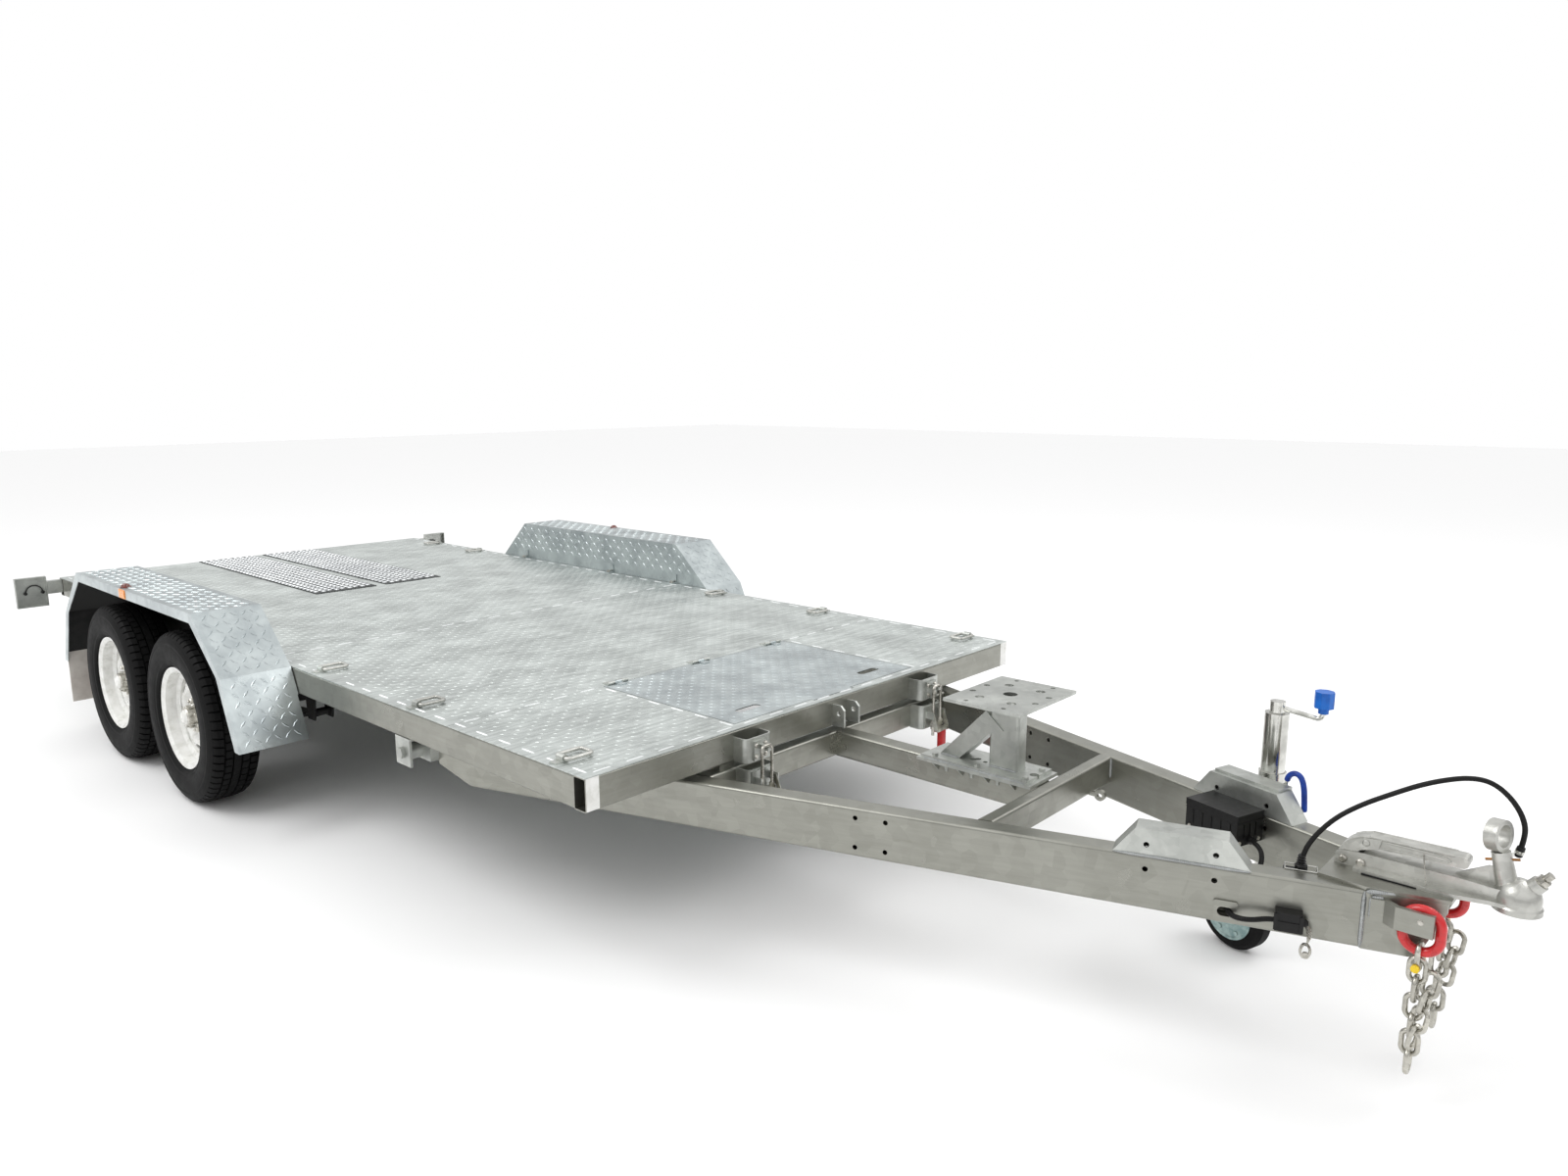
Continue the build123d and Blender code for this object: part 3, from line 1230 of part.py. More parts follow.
with BuildPart() as coupling_lever:
    with BuildSketch(Plane.XZ.offset(-lever_w / 2)):
        with BuildLine():
            back = Spline((lever_pivot_x - 10, lever_pivot_z - 5), (lever_pivot_x - 4, lever_pivot_z + 27),
                          (lever_pivot_x + 16, lever_pivot_z + 47),
                          (lever_pivot_x + 49, lever_pivot_z + lever_top - 4))
            Line(back @ 1, (lever_pivot_x + lever_reach, lever_pivot_z + lever_top))
            ThreePointArc((lever_pivot_x + lever_reach, lever_pivot_z + lever_top),
                          (lever_pivot_x + lever_reach + 12, lever_pivot_z + lever_top - 12),
                          (lever_pivot_x + lever_reach, lever_pivot_z + lever_top - 24))
            Polyline((lever_pivot_x + lever_reach, lever_pivot_z + lever_top - 24),
                     (lever_pivot_x + 72, lever_pivot_z + lever_top - 28),
                     (lever_pivot_x + 34, lever_pivot_z + 24), (lever_pivot_x + 12, lever_pivot_z - 5),
                     back @ 0)
        make_face()
        with Locations((lever_pivot_x, lever_pivot_z)):
            Circle(6.3, mode=Mode.SUBTRACT)
    extrude(amount=lever_w)
save(coupling_lever.part, "coupling_lever")


# Safety chains: welded arms, red joining rings and hanging links
arm_x0 = nose_x + chain_arm_tab
arm_bend_x = nose_x + chain_arm_bend
arm_x1 = deck_front + chain_arm_end
chain_x = arm_x1 - chain_pin_back
chain_y = chain_arm_y - ring_from_arm


def nose_y(x):
    """Distance of the nose box's outer face from the middle at a given x."""
    return beam_front_y - (x - nose_x) * slope


with BuildPart() as chain_arms:
    for side in (1, -1):
        with BuildSketch(Plane.XY.offset(chain_arm_z - chain_arm_h / 2)):
            with BuildLine():
                Polyline(*[(x, side * y) for x, y in (
                    (arm_x0, nose_y(arm_x0)), (arm_x0, nose_y(arm_x0) + chain_arm_t),
                    (arm_bend_x, nose_y(arm_bend_x) + chain_arm_t),
                    (arm_bend_x + chain_arm_jog, chain_arm_y + chain_arm_t),
                    (arm_x1, chain_arm_y + chain_arm_t),
                    (arm_x1, chain_arm_y), (arm_bend_x + chain_arm_jog + 5, chain_arm_y),
                    (arm_bend_x + 5, nose_y(arm_bend_x + 5)))], close=True)
            make_face()
        extrude(amount=chain_arm_h)
        add(cross_rod(side, chain_x, chain_pin_z, chain_pin_r, chain_arm_y - chain_pin_l, chain_arm_y + 2))
save(chain_arms.part, "chain_arms")

ring_top_z = chain_pin_z + chain_pin_r + seat_gap + joining_rod_r
ring_low_z = ring_top_z + joining_rod_r - joining_l
with BuildPart() as joining_rings:
    for side in (1, -1):
        add(rod_ring(Plane(origin=(chain_x, side * chain_y, ring_top_z), x_dir=(0, 0, -1), z_dir=(0, 1, 0)),
                     joining_l, joining_w, joining_rod_r, joining_w / 2 - joining_rod_r - 1))
save(joining_rings.part, "joining_rings")

# A bow shackle hangs in each ring, and every link in the one above, a quarter turn round
with BuildPart() as safety_chains:
    for side in (1, -1):
        bow_z = ring_low_z + 2 * joining_rod_r + seat_gap + shackle_rod_r
        leg = shackle_w / 2 - shackle_rod_r
        with BuildLine(Plane(origin=(chain_x, side * chain_y, 0), x_dir=(0, 1, 0), z_dir=(1, 0, 0))) as bow:
            FilletPolyline((-leg, shackle_pin_z), (-leg, bow_z), (leg, bow_z), (leg, shackle_pin_z),
                           radius=leg - 1)
        with BuildSketch(Plane(origin=(chain_x, side * chain_y - leg, shackle_pin_z), z_dir=(0, 0, 1))):
            Circle(shackle_rod_r)
        sweep(path=bow.wire())
        for y in (side * chain_y - leg, side * chain_y + leg):
            with BuildSketch(Plane.XZ.offset(-y - shackle_rod_r - 1)):
                with Locations((chain_x, shackle_pin_z)):
                    Circle(shackle_eye_r)
            extrude(amount=2 * shackle_rod_r + 2)
        with BuildSketch(Plane.XZ.offset(-side * chain_y - shackle_w / 2 - 3)):
            with Locations((chain_x, shackle_pin_z)):
                Circle(shackle_pin_r)
        extrude(amount=shackle_w + 6)
        z_inner = shackle_pin_z + shackle_pin_r + seat_gap + link_rod_r
        for number in range(link_count):
            add(rod_ring(Plane(origin=(chain_x, side * chain_y, z_inner), x_dir=(0, 0, -1),
                               z_dir=(0, 1, 0) if number % 2 == 0 else (1, 0, 0)),
                         link_l, link_w, link_rod_r, link_w / 2 - link_rod_r - 0.5))
            z_inner -= link_l - 4 * link_rod_r - seat_gap
save(safety_chains.part, "safety_chains")


def beam_box(back0, back1, out0, out1, z0, z1):
    """Box beside the left beam, between two distances back from the nose and outward from its outer face."""
    with BuildPart() as box:
        with BuildSketch(beam_wall(back0, -out0, z0)):
            with Locations(((back1 - back0) / 2, (z1 - z0) / 2)):
                Rectangle(back1 - back0, z1 - z0)
        extrude(amount=out1 - out0)
    return box.part


# Jockey wheel on the left beam: bracket, outer tube, leg, caster fork, wheel and crank
riser_top = drawbar_top + riser_h
jockey_x, jockey_y, bracket_z = beam_spot(jockey_back, -jockey_off, drawbar_top + jockey_pivot_rise)
with BuildPart() as jockey_bracket:
    with BuildSketch(beam_wall(jockey_back, 0, bracket_z)):
        Rectangle(bracket_l, bracket_h)
    extrude(amount=bracket_t)
    # Flange that laps over the riser's flat top
    add(beam_box(jockey_back - bracket_l / 2, jockey_back + bracket_l / 2, -flange_in, bracket_t,
                 riser_top + seat_gap, riser_top + seat_gap + bracket_lip))
    add(beam_box(jockey_back - bracket_l / 2, jockey_back + bracket_l / 2, 0, bracket_t, riser_top - 10,
                 riser_top + seat_gap + bracket_lip))
    with BuildSketch(beam_wall(jockey_back, -bracket_t, bracket_z)):
        Circle(swing_pin_r)
    extrude(amount=jockey_off - collar_r - bracket_t - 1)
save(jockey_bracket.part, "jockey_bracket")


def jockey_ring(z0, z1, r_out, r_in):
    with BuildPart() as tube:
        with BuildSketch(Plane.XY.offset(z0)):
            with Locations((jockey_x, jockey_y)):
                Circle(r_out)
                if r_in > 0:
                    Circle(r_in, mode=Mode.SUBTRACT)
        extrude(amount=z1 - z0)
    return tube.part


with BuildPart() as jockey_tube:
    add(jockey_ring(jockey_tube_bottom, jockey_tube_top, jockey_tube_r, jockey_leg_r + jockey_fit))
    add(jockey_ring(bracket_z - 24, bracket_z + 24, collar_r, jockey_leg_r + jockey_fit))
    add(jockey_ring(bracket_z + 24 + seat_gap, bracket_z + 24 + upper_collar_h, collar_r - 2,
                    jockey_leg_r + jockey_fit))
    add(jockey_ring(jockey_tube_top, jockey_tube_top + cap_t, jockey_tube_r, 0))
    with BuildSketch(beam_wall(jockey_back, -bracket_t - seat_gap, bracket_z)):
        Circle(swing_pin_r + 10)
        Circle(swing_pin_r + running_gap, mode=Mode.SUBTRACT)
    extrude(amount=jockey_off - jockey_tube_r - bracket_t - seat_gap)
    add(jockey_ring(jockey_tube_bottom - 1, jockey_tube_top, jockey_leg_r + jockey_fit, 0),
        mode=Mode.SUBTRACT)
save(jockey_tube.part, "jockey_tube")

with BuildPart() as jockey_leg:
    add(jockey_ring(fork_top + seat_gap, jockey_leg_top, jockey_leg_r, 0))
save(jockey_leg.part, "jockey_leg")

# Fork and wheel trail along the beam, so that the leg can swing up beside it
fork_plane_in = beam_wall(jockey_back, fork_half - jockey_off, 0)
with BuildPart() as jockey_fork:
    for out in (-fork_half, fork_half - fork_t):
        with BuildSketch(beam_wall(jockey_back, -jockey_off - out, 0)):
            with BuildLine():
                Polyline((jockey_trail + 20, fork_top), (-32, fork_top), (-32, fork_top - 20),
                         (jockey_trail - 18, jockey_wheel_r - 8), (jockey_trail, jockey_wheel_r - 20),
                         (jockey_trail + 18, jockey_wheel_r - 8), close=True)
            make_face()
        extrude(amount=fork_t)
    with BuildSketch(fork_plane_in):
        with Locations(((jockey_trail - 12) / 2, fork_top - fork_web / 2)):
            Rectangle(jockey_trail + 52, fork_web)
    extrude(amount=2 * fork_half)
    with BuildSketch(beam_wall(jockey_back, fork_half + 3 - jockey_off, 0)):
        with Locations((jockey_trail, jockey_wheel_r)):
            Circle(jockey_axle_r)
    extrude(amount=2 * fork_half + 6)
save(jockey_fork.part, "jockey_fork")

jockey_axle = beam_spot(jockey_back + jockey_trail, -jockey_off, jockey_wheel_r)
with BuildPart() as jockey_wheel:
    with BuildSketch(Plane(origin=jockey_axle, x_dir=(0, 0, 1), z_dir=(-cos_a, sin_a, 0))):
        with BuildLine():
            half = jockey_wheel_w / 2
            Polyline((jockey_axle_r + running_gap, -half + 2), (26, -half + 2), (30, -10), (54, -10),
                     (58, -half + 6),
                     (72, -half), (88, -half + 3), (jockey_wheel_r, -half + 16),
                     (jockey_wheel_r, half - 16),
                     (88, half - 3), (72, half), (58, half - 6), (54, 10), (30, 10), (26, half - 2),
                     (jockey_axle_r + running_gap, half - 2), close=True)
        make_face()
    revolve(axis=Axis(jockey_axle, (sin_a, cos_a, 0)))
save(jockey_wheel.part, "jockey_wheel")

# Crank: hub on the tube's cap, bent rod and knob
crank_z = jockey_tube_top + cap_t + seat_gap
rod_z = crank_z + hub_cap_h / 2
with BuildPart() as jockey_crank:
    add(jockey_ring(crank_z, crank_z + hub_cap_h, hub_cap_r, 0))
    with BuildLine() as crank_path:
        FilletPolyline((jockey_x, jockey_y, rod_z), (jockey_x + crank_l, jockey_y, rod_z - crank_drop),
                       (jockey_x + crank_l, jockey_y, knob_low + knob_h), radius=2 * crank_rod_r)
    crank_wire = crank_path.wire()
    with BuildSketch(Plane(origin=crank_wire @ 0, z_dir=crank_wire % 0)):
        Circle(crank_rod_r)
    sweep(path=crank_wire)
    with BuildSketch(Plane.XY.offset(knob_low)):
        with Locations((jockey_x + crank_l, jockey_y)):
            Circle(knob_neck_r)
    extrude(amount=knob_neck_h)
    with BuildSketch(Plane.XY.offset(knob_low + knob_neck_h)):
        with Locations((jockey_x + crank_l, jockey_y)):
            RegularPolygon(knob_r, 8)
    extrude(amount=knob_h - knob_neck_h + 15)
save(jockey_crank.part, "jockey_crank")

# Release handle at the front end of the bracket
with BuildPart() as release_handle:
    handle_top = beam_spot(handle_back, -bracket_t - seat_gap - handle_rod_r, handle_top_z - handle_rod_r)
    add(rod_ring(Plane(origin=handle_top, x_dir=(0, 0, -1), z_dir=(sin_a, cos_a, 0)),
                 handle_l, handle_w, handle_rod_r, handle_rod_r + 4))
save(release_handle.part, "release_handle")


# Battery box, breakaway switch and boot
with BuildPart() as electrical_boxes:
    add(beam_box(battery_back - battery_l, battery_back, -beam_w - battery_d, -beam_w,
                 drawbar_top + 14 - battery_h, drawbar_top + 14))
    # Breakaway switch on the right beam
    add(mirror(beam_box(switch_back, switch_back + switch_l, 0, switch_d, switch_low,
                        switch_low + switch_h),
               about=Plane.XZ))
    # Boot that the lead comes out of, on the inner face of the right beam
    add(mirror(beam_box(boot_back, boot_back + boot_l, -beam_w - boot_d, -beam_w, boot_top - boot_h,
                        boot_top),
               about=Plane.XZ))
save(electrical_boxes.part, "electrical_boxes")

# Lamp panels, marker lamps and reflectors
panel_in = deck_half + panel_gap
panel_out = panel_in + panel_w
with BuildPart() as lamp_panels:
    for side in (1, -1):
        add(block(deck_rear, deck_rear + panel_d, *sorted((side * panel_in, side * panel_out)),
                  panel_low, panel_top))
        add(block(deck_rear + panel_sheet, deck_rear + panel_d + 1,
                  *sorted((side * (panel_in + panel_sheet), side * (panel_out - panel_sheet))),
                  panel_low + panel_sheet, panel_top - panel_sheet), mode=Mode.SUBTRACT)
        add(block(deck_rear, deck_rear + panel_rail_d, *sorted((side * deck_half, side * panel_in)),
                  panel_top - panel_d - panel_rail_h, panel_top - panel_d))
save(lamp_panels.part, "lamp_panels")
with BuildPart() as marker_lamps:
    for side in (1, -1):
        with BuildSketch(Plane.XY.offset(fender_top)):
            with Locations((bogie_x - marker_back, side * (fender_outer_y - 1.75 * marker_r))):
                Circle(marker_r)
        extrude(amount=marker_h)
        add(block(bogie_x - marker_back + 10, bogie_x - marker_back + 10 + reflector_l,
                  *sorted((side * fender_outer_y, side * (fender_outer_y + 3))),
                  fender_top - 4 - reflector_h, fender_top - 4))
save(marker_lamps.part, "marker_lamps")

# Cable from the boot behind the right beam, over to the plug holder on the coupling
cable_route = [
    (1419, -97, boot_top), (1419, -97, 488), (1436, -84, 532), (1472, -69, 582), (1520, -54, 622),
    (1573, -42, 656),
    (1622, -37, 687), (1668, -32, 709), (1709, -15, 719), (1744, 3, 713), (1777, 19, 684), (1802, 31, 642),
    (1809, 38, 600), (1799, 44, 556),
]
cable_points = [(deck_front + x, y, z) for x, y, z in cable_route]


def bend_radii(points):
    """Radius of each corner's arc, from the shorter of its runs and half the turn."""
    radii = []
    for before, corner, after in zip(points, points[1:], points[2:]):
        run_in = Vector(*corner) - Vector(*before)
        run_out = Vector(*after) - Vector(*corner)
        turn = run_in.get_angle(run_out)
        radii.append(0.45 * min(run_in.length, run_out.length) / tan(radians(turn / 2)))
    return radii


def round_cord(points, radii, radius):
    """Cord of straight runs and tangent arcs, and its length."""
    with BuildPart() as cord:
        with BuildLine() as line:
            FilletPolyline(*points, radius=radii)
        wire = line.wire()
        with BuildSketch(Plane(origin=wire @ 0, z_dir=wire % 0)):
            Circle(radius)
        sweep(path=wire)
    print("cord volume", round(cord.part.volume), "section times length",
          round(wire.length * pi * radius ** 2),
          "length", round(wire.length), "radii", [round(r) for r in radii])
    return cord.part


save(round_cord(cable_points, bend_radii(cable_points), cable_r), "lead_cable")

# Conduit: from the battery box through the oval hole in the right beam to the breakaway switch
conduit_route = [
    (1234.5 + 3 * seat_gap, 114.5, 402), (1255, 106.5, 399), (1271.5, 95.5, 388.5), (1279.5, 80.5, 374.5),
    (1282, 61.5, 363.5), (1281, 40.5, 357), (1277.5, 18.5, 353), (1273, -3, 351.5), (1269, -25, 350.5),
    (1265, -47, 351), (1262, -69, 351.5), (1260.5, -91, 352.5), (1261.5, -113.5, 353.5),
    (1266, -135, 354.5), (1275.5, -155.5, 355), (1286.5, -174.5, 355.2), (1298, -194, 355.1),
    (1309, -213, 355), (1320.5, -223, 355.5), (1334.5, -228.5, 357), (1349.5, -229, 359),
    (1364, -225, 361.5), (1376.5, -216.5, 363.5), (1387.5, -206.5, 365), (1402.5, -199.5, 366),
]
conduit_points = [(deck_front + x, y, z) for x, y, z in conduit_route]
save(round_cord(conduit_points, bend_radii(conduit_points), conduit_r), "conduit")
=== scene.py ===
import math
import bmesh
import bpy
from mathutils import Matrix, Vector


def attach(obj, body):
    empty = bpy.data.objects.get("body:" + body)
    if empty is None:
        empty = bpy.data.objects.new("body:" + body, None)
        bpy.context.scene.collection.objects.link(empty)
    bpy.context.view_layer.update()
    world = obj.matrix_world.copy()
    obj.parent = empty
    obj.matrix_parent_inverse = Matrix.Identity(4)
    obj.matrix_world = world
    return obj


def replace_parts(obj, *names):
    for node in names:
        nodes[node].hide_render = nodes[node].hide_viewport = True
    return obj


# Car trailer with a tilting flat deck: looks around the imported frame, in metres.
# +X points to the hitch, +Y to the left, +Z up, with the ground at zero.

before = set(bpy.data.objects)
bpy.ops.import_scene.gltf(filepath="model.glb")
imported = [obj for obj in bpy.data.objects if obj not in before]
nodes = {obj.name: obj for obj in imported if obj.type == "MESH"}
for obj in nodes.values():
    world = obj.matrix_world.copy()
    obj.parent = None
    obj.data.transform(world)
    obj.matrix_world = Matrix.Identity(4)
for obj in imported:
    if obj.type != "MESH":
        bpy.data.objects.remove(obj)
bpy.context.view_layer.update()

# The deck's edges and top, then its seam, hatch and grip strips, and the drawbar's nose and beams
DECK_FRONT = 1.2725
DECK_REAR = -3.1435
DECK_TOP = 0.565
SEAM_X = DECK_FRONT - 1.861
HATCH_REACH = 0.655
HATCH_HALF = 0.445
STRIP_REACH = 1.47
STRIP_Y = 0.175
STRIP_HALF = 0.163
TREAD_MARGIN = 0.012
NOSE_X = 2.8311
NOSE_Y = 0.1241
BEAM_ANGLE = math.radians(18.355)
COS_A = math.cos(BEAM_ANGLE)
SIN_A = math.sin(BEAM_ANGLE)


# Camera at the photograph's viewing angle
def aim_camera(place, yaw, pitch, roll, lens):
    """Camera whose forward direction has the yaw and pitch given, then rolls about it."""
    forward = Vector((math.cos(yaw) * math.cos(pitch), math.sin(yaw) * math.cos(pitch), math.sin(pitch)))
    right = forward.cross(Vector((0, 0, 1))).normalized()
    up = right.cross(forward)
    rolled_right = math.cos(roll) * right + math.sin(roll) * up
    rolled_up = math.cos(roll) * up - math.sin(roll) * right
    camera = bpy.data.objects.new("camera", bpy.data.cameras.new("camera"))
    bpy.context.scene.collection.objects.link(camera)
    camera.data.lens = lens
    camera.data.sensor_width = 36
    camera.data.clip_start = 0.05
    camera.data.clip_end = 100
    turn = Matrix((rolled_right, rolled_up, -forward)).transposed()
    camera.matrix_world = Matrix.Translation(place) @ turn.to_4x4()
    bpy.context.scene.camera = camera


aim_camera(Vector((3.3742, -2.5660, 1.5212)), math.radians(132.378), math.radians(-10.450),
           math.radians(-0.168), 24.917)


# Shader sockets that add up with Python's own operators
class Value:
    def __init__(self, finish, socket):
        self.finish = finish
        self.socket = socket

    def sum(self, operation, a, b):
        return self.finish.node("ShaderNodeMath", {"operation": operation}, {0: a, 1: b})

    def __add__(self, other):
        return self.sum("ADD", self, other)

    def __radd__(self, other):
        return self.sum("ADD", other, self)

    def __sub__(self, other):
        return self.sum("SUBTRACT", self, other)

    def __rsub__(self, other):
        return self.sum("SUBTRACT", other, self)

    def __mul__(self, other):
        return self.sum("MULTIPLY", self, other)

    def __rmul__(self, other):
        return self.sum("MULTIPLY", other, self)


class Finish:
    """A material whose patterns read the object's own coordinates, in metres."""

    def __init__(self, name):
        self.material = bpy.data.materials.new(name)
        self.material.use_nodes = True
        self.tree = self.material.node_tree
        self.shader = self.tree.nodes["Principled BSDF"]
        self.place = self.node("ShaderNodeTexCoord", {}, {}, "Object")

    def node(self, kind, settings, sockets, output=0):
        made = self.tree.nodes.new(kind)
        for key, value in settings.items():
            setattr(made, key, value)
        for key, value in sockets.items():
            self.feed(made.inputs[key], value)
        return Value(self, made.outputs[output])

    def feed(self, socket, value):
        if isinstance(value, Value):
            self.tree.links.new(value.socket, socket)
        else:
            socket.default_value = value

    def set(self, **sockets):
        for key, value in sockets.items():
            self.feed(self.shader.inputs[key.replace("_", " ")], value)

    def stretched(self, scale):
        return self.node("ShaderNodeMapping", {}, {"Vector": self.place, "Scale": scale})

    def noise(self, scale, detail=3.0, rough=0.55, where=None):
        return self.node("ShaderNodeTexNoise", {}, {"Vector": where or self.place, "Scale": scale,
                                                    "Detail": detail, "Roughness": rough})

    def cells(self, scale):
        return self.node("ShaderNodeTexVoronoi", {"feature": "F1"},
                         {"Vector": self.place, "Scale": scale}, "Color")

    def spread(self, value, low, high, out_low=0.0, out_high=1.0):
        """A value that rises from one level to another between two readings."""
        return self.node("ShaderNodeMapRange", {"interpolation_type": "SMOOTHSTEP"},
                         {"Value": value, "From Min": low, "From Max": high,
                          "To Min": out_low, "To Max": out_high})

    def blend(self, amount, a, b):
        return self.node("ShaderNodeMix", {"data_type": "RGBA"}, {"Factor": amount, 6: a, 7: b}, 2)

    def grey(self, colour):
        return self.node("ShaderNodeRGBToBW", {}, {"Color": colour})

    def bump(self, height, distance):
        return self.node("ShaderNodeBump", {}, {"Strength": 1.0, "Distance": distance, "Height": height})


def tone(r, g, b):
    """A colour written as it looks on a screen, as the linear one that a shader takes."""
    return tuple(c / 12.92 if c <= 0.04045 else ((c + 0.055) / 1.055) ** 2.4 for c in (r, g, b)) + (1.0,)


def zinc(name, dark, light, roughness, flake=38.0, streak=(1, 1, 1), streak_part=0.35, metallic=0.92,
         relief=0.0003):
    """Hot-dip galvanised steel: crystals a few centimetres wide, run-off streaks and a slight orange peel."""
    f = Finish(name)
    crystal = f.grey(f.cells(flake))
    cloud = f.noise(5.0, 4.0)
    fine = f.noise(160.0, 2.0)
    run = f.noise(9.0, 5.0, 0.6, f.stretched(streak))
    mix = 0.30 * crystal + 0.35 * f.spread(cloud, 0.3, 0.7) + streak_part * f.spread(run, 0.32, 0.68)
    f.set(Base_Color=f.blend(mix, dark, light), Metallic=metallic,
          Roughness=roughness - 0.08 * crystal + 0.12 * f.spread(cloud, 0.3, 0.7) + 0.05 * fine,
          Normal=f.bump(0.6 * f.noise(45.0, 3.0) + 0.4 * fine, relief))
    return f.material


DECK_ZINC = zinc("deck_zinc", tone(0.64, 0.66, 0.65), tone(0.84, 0.86, 0.85), 0.40, 24.0, (8.0, 0.7, 1), 0.55)
# The beams' zinc is darker than the deck's: painted shade for the dark surroundings that the beams' upright
# faces reflect.
SHADED_BEAM_ZINC = zinc("beam_zinc_painted_shade", tone(0.54, 0.54, 0.51), tone(0.65, 0.65, 0.62), 0.30, 30.0, (0.8, 0.8, 9), 0.20,
                 relief=0.0001)
# The grip strips' zinc is much darker than the craters on it: painted shade in the gaps between the craters.
SHADED_STRIP_ZINC = zinc("strip_zinc_painted_shade", tone(0.26, 0.27, 0.27), tone(0.38, 0.39, 0.39), 0.55, 30.0)
PLATE_ZINC = zinc("plate_zinc", tone(0.62, 0.63, 0.615), tone(0.82, 0.83, 0.81), 0.36, 46.0)
TREAD_ZINC = zinc("tread_zinc", tone(0.62, 0.65, 0.66), tone(0.83, 0.86, 0.86), 0.30, 30.0)
GRIP_ZINC = zinc("grip_zinc", tone(0.72, 0.73, 0.74), tone(0.90, 0.91, 0.91), 0.32, 30.0)
WELD_ZINC = zinc("weld_zinc", tone(0.54, 0.55, 0.55), tone(0.76, 0.77, 0.77), 0.46, 90.0, relief=0.0012)
BRIGHT_ZINC = zinc("bright_zinc", tone(0.84, 0.85, 0.85), tone(0.95, 0.96, 0.96), 0.42, 60.0, metallic=0.4)
CAST_ZINC = zinc("cast_zinc", tone(0.60, 0.60, 0.58), tone(0.84, 0.84, 0.82), 0.36, 60.0, relief=0.0012)
CHAIN_ZINC = zinc("chain_zinc", tone(0.56, 0.55, 0.52), tone(0.88, 0.87, 0.83), 0.26, 90.0)


def smooth_finish(name, low, high, roughness, metallic=0.0, scale=30.0, relief=0.0, coat=0.0, specular=0.5):
    """Paint, plastic, rubber or plating with slight clouding, dust and a fine grain."""
    f = Finish(name)
    cloud = f.spread(f.noise(scale, 4.0), 0.3, 0.7)
    fine = f.noise(scale * 14, 2.0)
    f.set(Base_Color=f.blend(cloud, low, high), Metallic=metallic,
          Roughness=roughness + 0.10 * cloud - 0.05 * fine, Coat_Weight=coat)
    f.shader.inputs["Specular IOR Level"].default_value = specular
    if relief:
        f.set(Normal=f.bump(fine, relief))
    return f.material


WHITE_PAINT = smooth_finish("white_paint", tone(0.86, 0.86, 0.84), tone(0.93, 0.93, 0.92), 0.28, coat=0.3)
TYRE_RUBBER = smooth_finish("tyre_rubber", tone(0.030, 0.030, 0.031), tone(0.065, 0.065, 0.066), 0.62,
                            relief=0.0002, specular=0.16)
BLACK_PAINT = smooth_finish("black_paint", tone(0.06, 0.06, 0.06), tone(0.12, 0.12, 0.12), 0.48,
                            relief=0.0003, specular=0.3)
BLACK_PLASTIC = smooth_finish("black_plastic", tone(0.045, 0.045, 0.045), tone(0.08, 0.08, 0.08), 0.40,
                              scale=60.0, specular=0.3)
FLAP_SHEET = smooth_finish("flap_sheet", tone(0.74, 0.71, 0.68), tone(0.84, 0.82, 0.79), 0.60, scale=12.0)
RED_PAINT = smooth_finish("red_paint", tone(0.74, 0.05, 0.08), tone(0.84, 0.10, 0.12), 0.28,
                          coat=0.5, scale=50.0)
BLUE_SLEEVE = smooth_finish("blue_sleeve", tone(0.02, 0.18, 0.52), tone(0.04, 0.25, 0.64), 0.36, scale=60.0)
BRIGHT_PLATING = smooth_finish("bright_plating", tone(0.70, 0.70, 0.68), tone(0.86, 0.86, 0.84), 0.10,
                               1.0, 20.0)
DULL_PLATING = smooth_finish("dull_plating", tone(0.62, 0.61, 0.58), tone(0.84, 0.83, 0.80), 0.26, 1.0, 40.0)
PIN_COPPER = smooth_finish("pin_copper", tone(0.52, 0.36, 0.20), tone(0.66, 0.48, 0.30), 0.34, 0.8, 60.0)
TEAL_ZINC = smooth_finish("teal_zinc", tone(0.50, 0.60, 0.60), tone(0.70, 0.78, 0.77), 0.34, 0.8, 40.0)
AMBER_LENS = smooth_finish("amber_lens", tone(0.88, 0.50, 0.02), tone(0.95, 0.60, 0.06), 0.22,
                           coat=0.4, scale=120.0)
DARK_LENS = smooth_finish("dark_lens", tone(0.30, 0.07, 0.03), tone(0.50, 0.16, 0.06), 0.14,
                          coat=0.8, scale=120.0)
CABLE_SHEATH = smooth_finish("cable_sheath", tone(0.035, 0.035, 0.035), tone(0.07, 0.07, 0.07), 0.44,
                             scale=80.0, specular=0.25)
YELLOW_PAINT = smooth_finish("yellow_paint", tone(0.86, 0.72, 0.08), tone(0.93, 0.80, 0.16), 0.40, scale=60.0)


def split_finish(name, colours, metallic, roughness, test):
    """Two finishes on one solid: test builds a value that is 1 where the second one shows."""
    f = Finish(name)
    second = test(f)
    cloud = f.spread(f.noise(40.0, 3.0), 0.3, 0.7)
    low = f.blend(second, colours[0], colours[2])
    high = f.blend(second, colours[1], colours[3])
    f.set(Base_Color=f.blend(cloud, low, high), Metallic=f.spread(second, 0.0, 1.0, *metallic),
          Roughness=f.spread(second, 0.0, 1.0, *roughness) + 0.08 * cloud)
    return f.material


def coordinate(f, axis):
    return f.node("ShaderNodeSeparateXYZ", {}, {0: f.place}, axis)


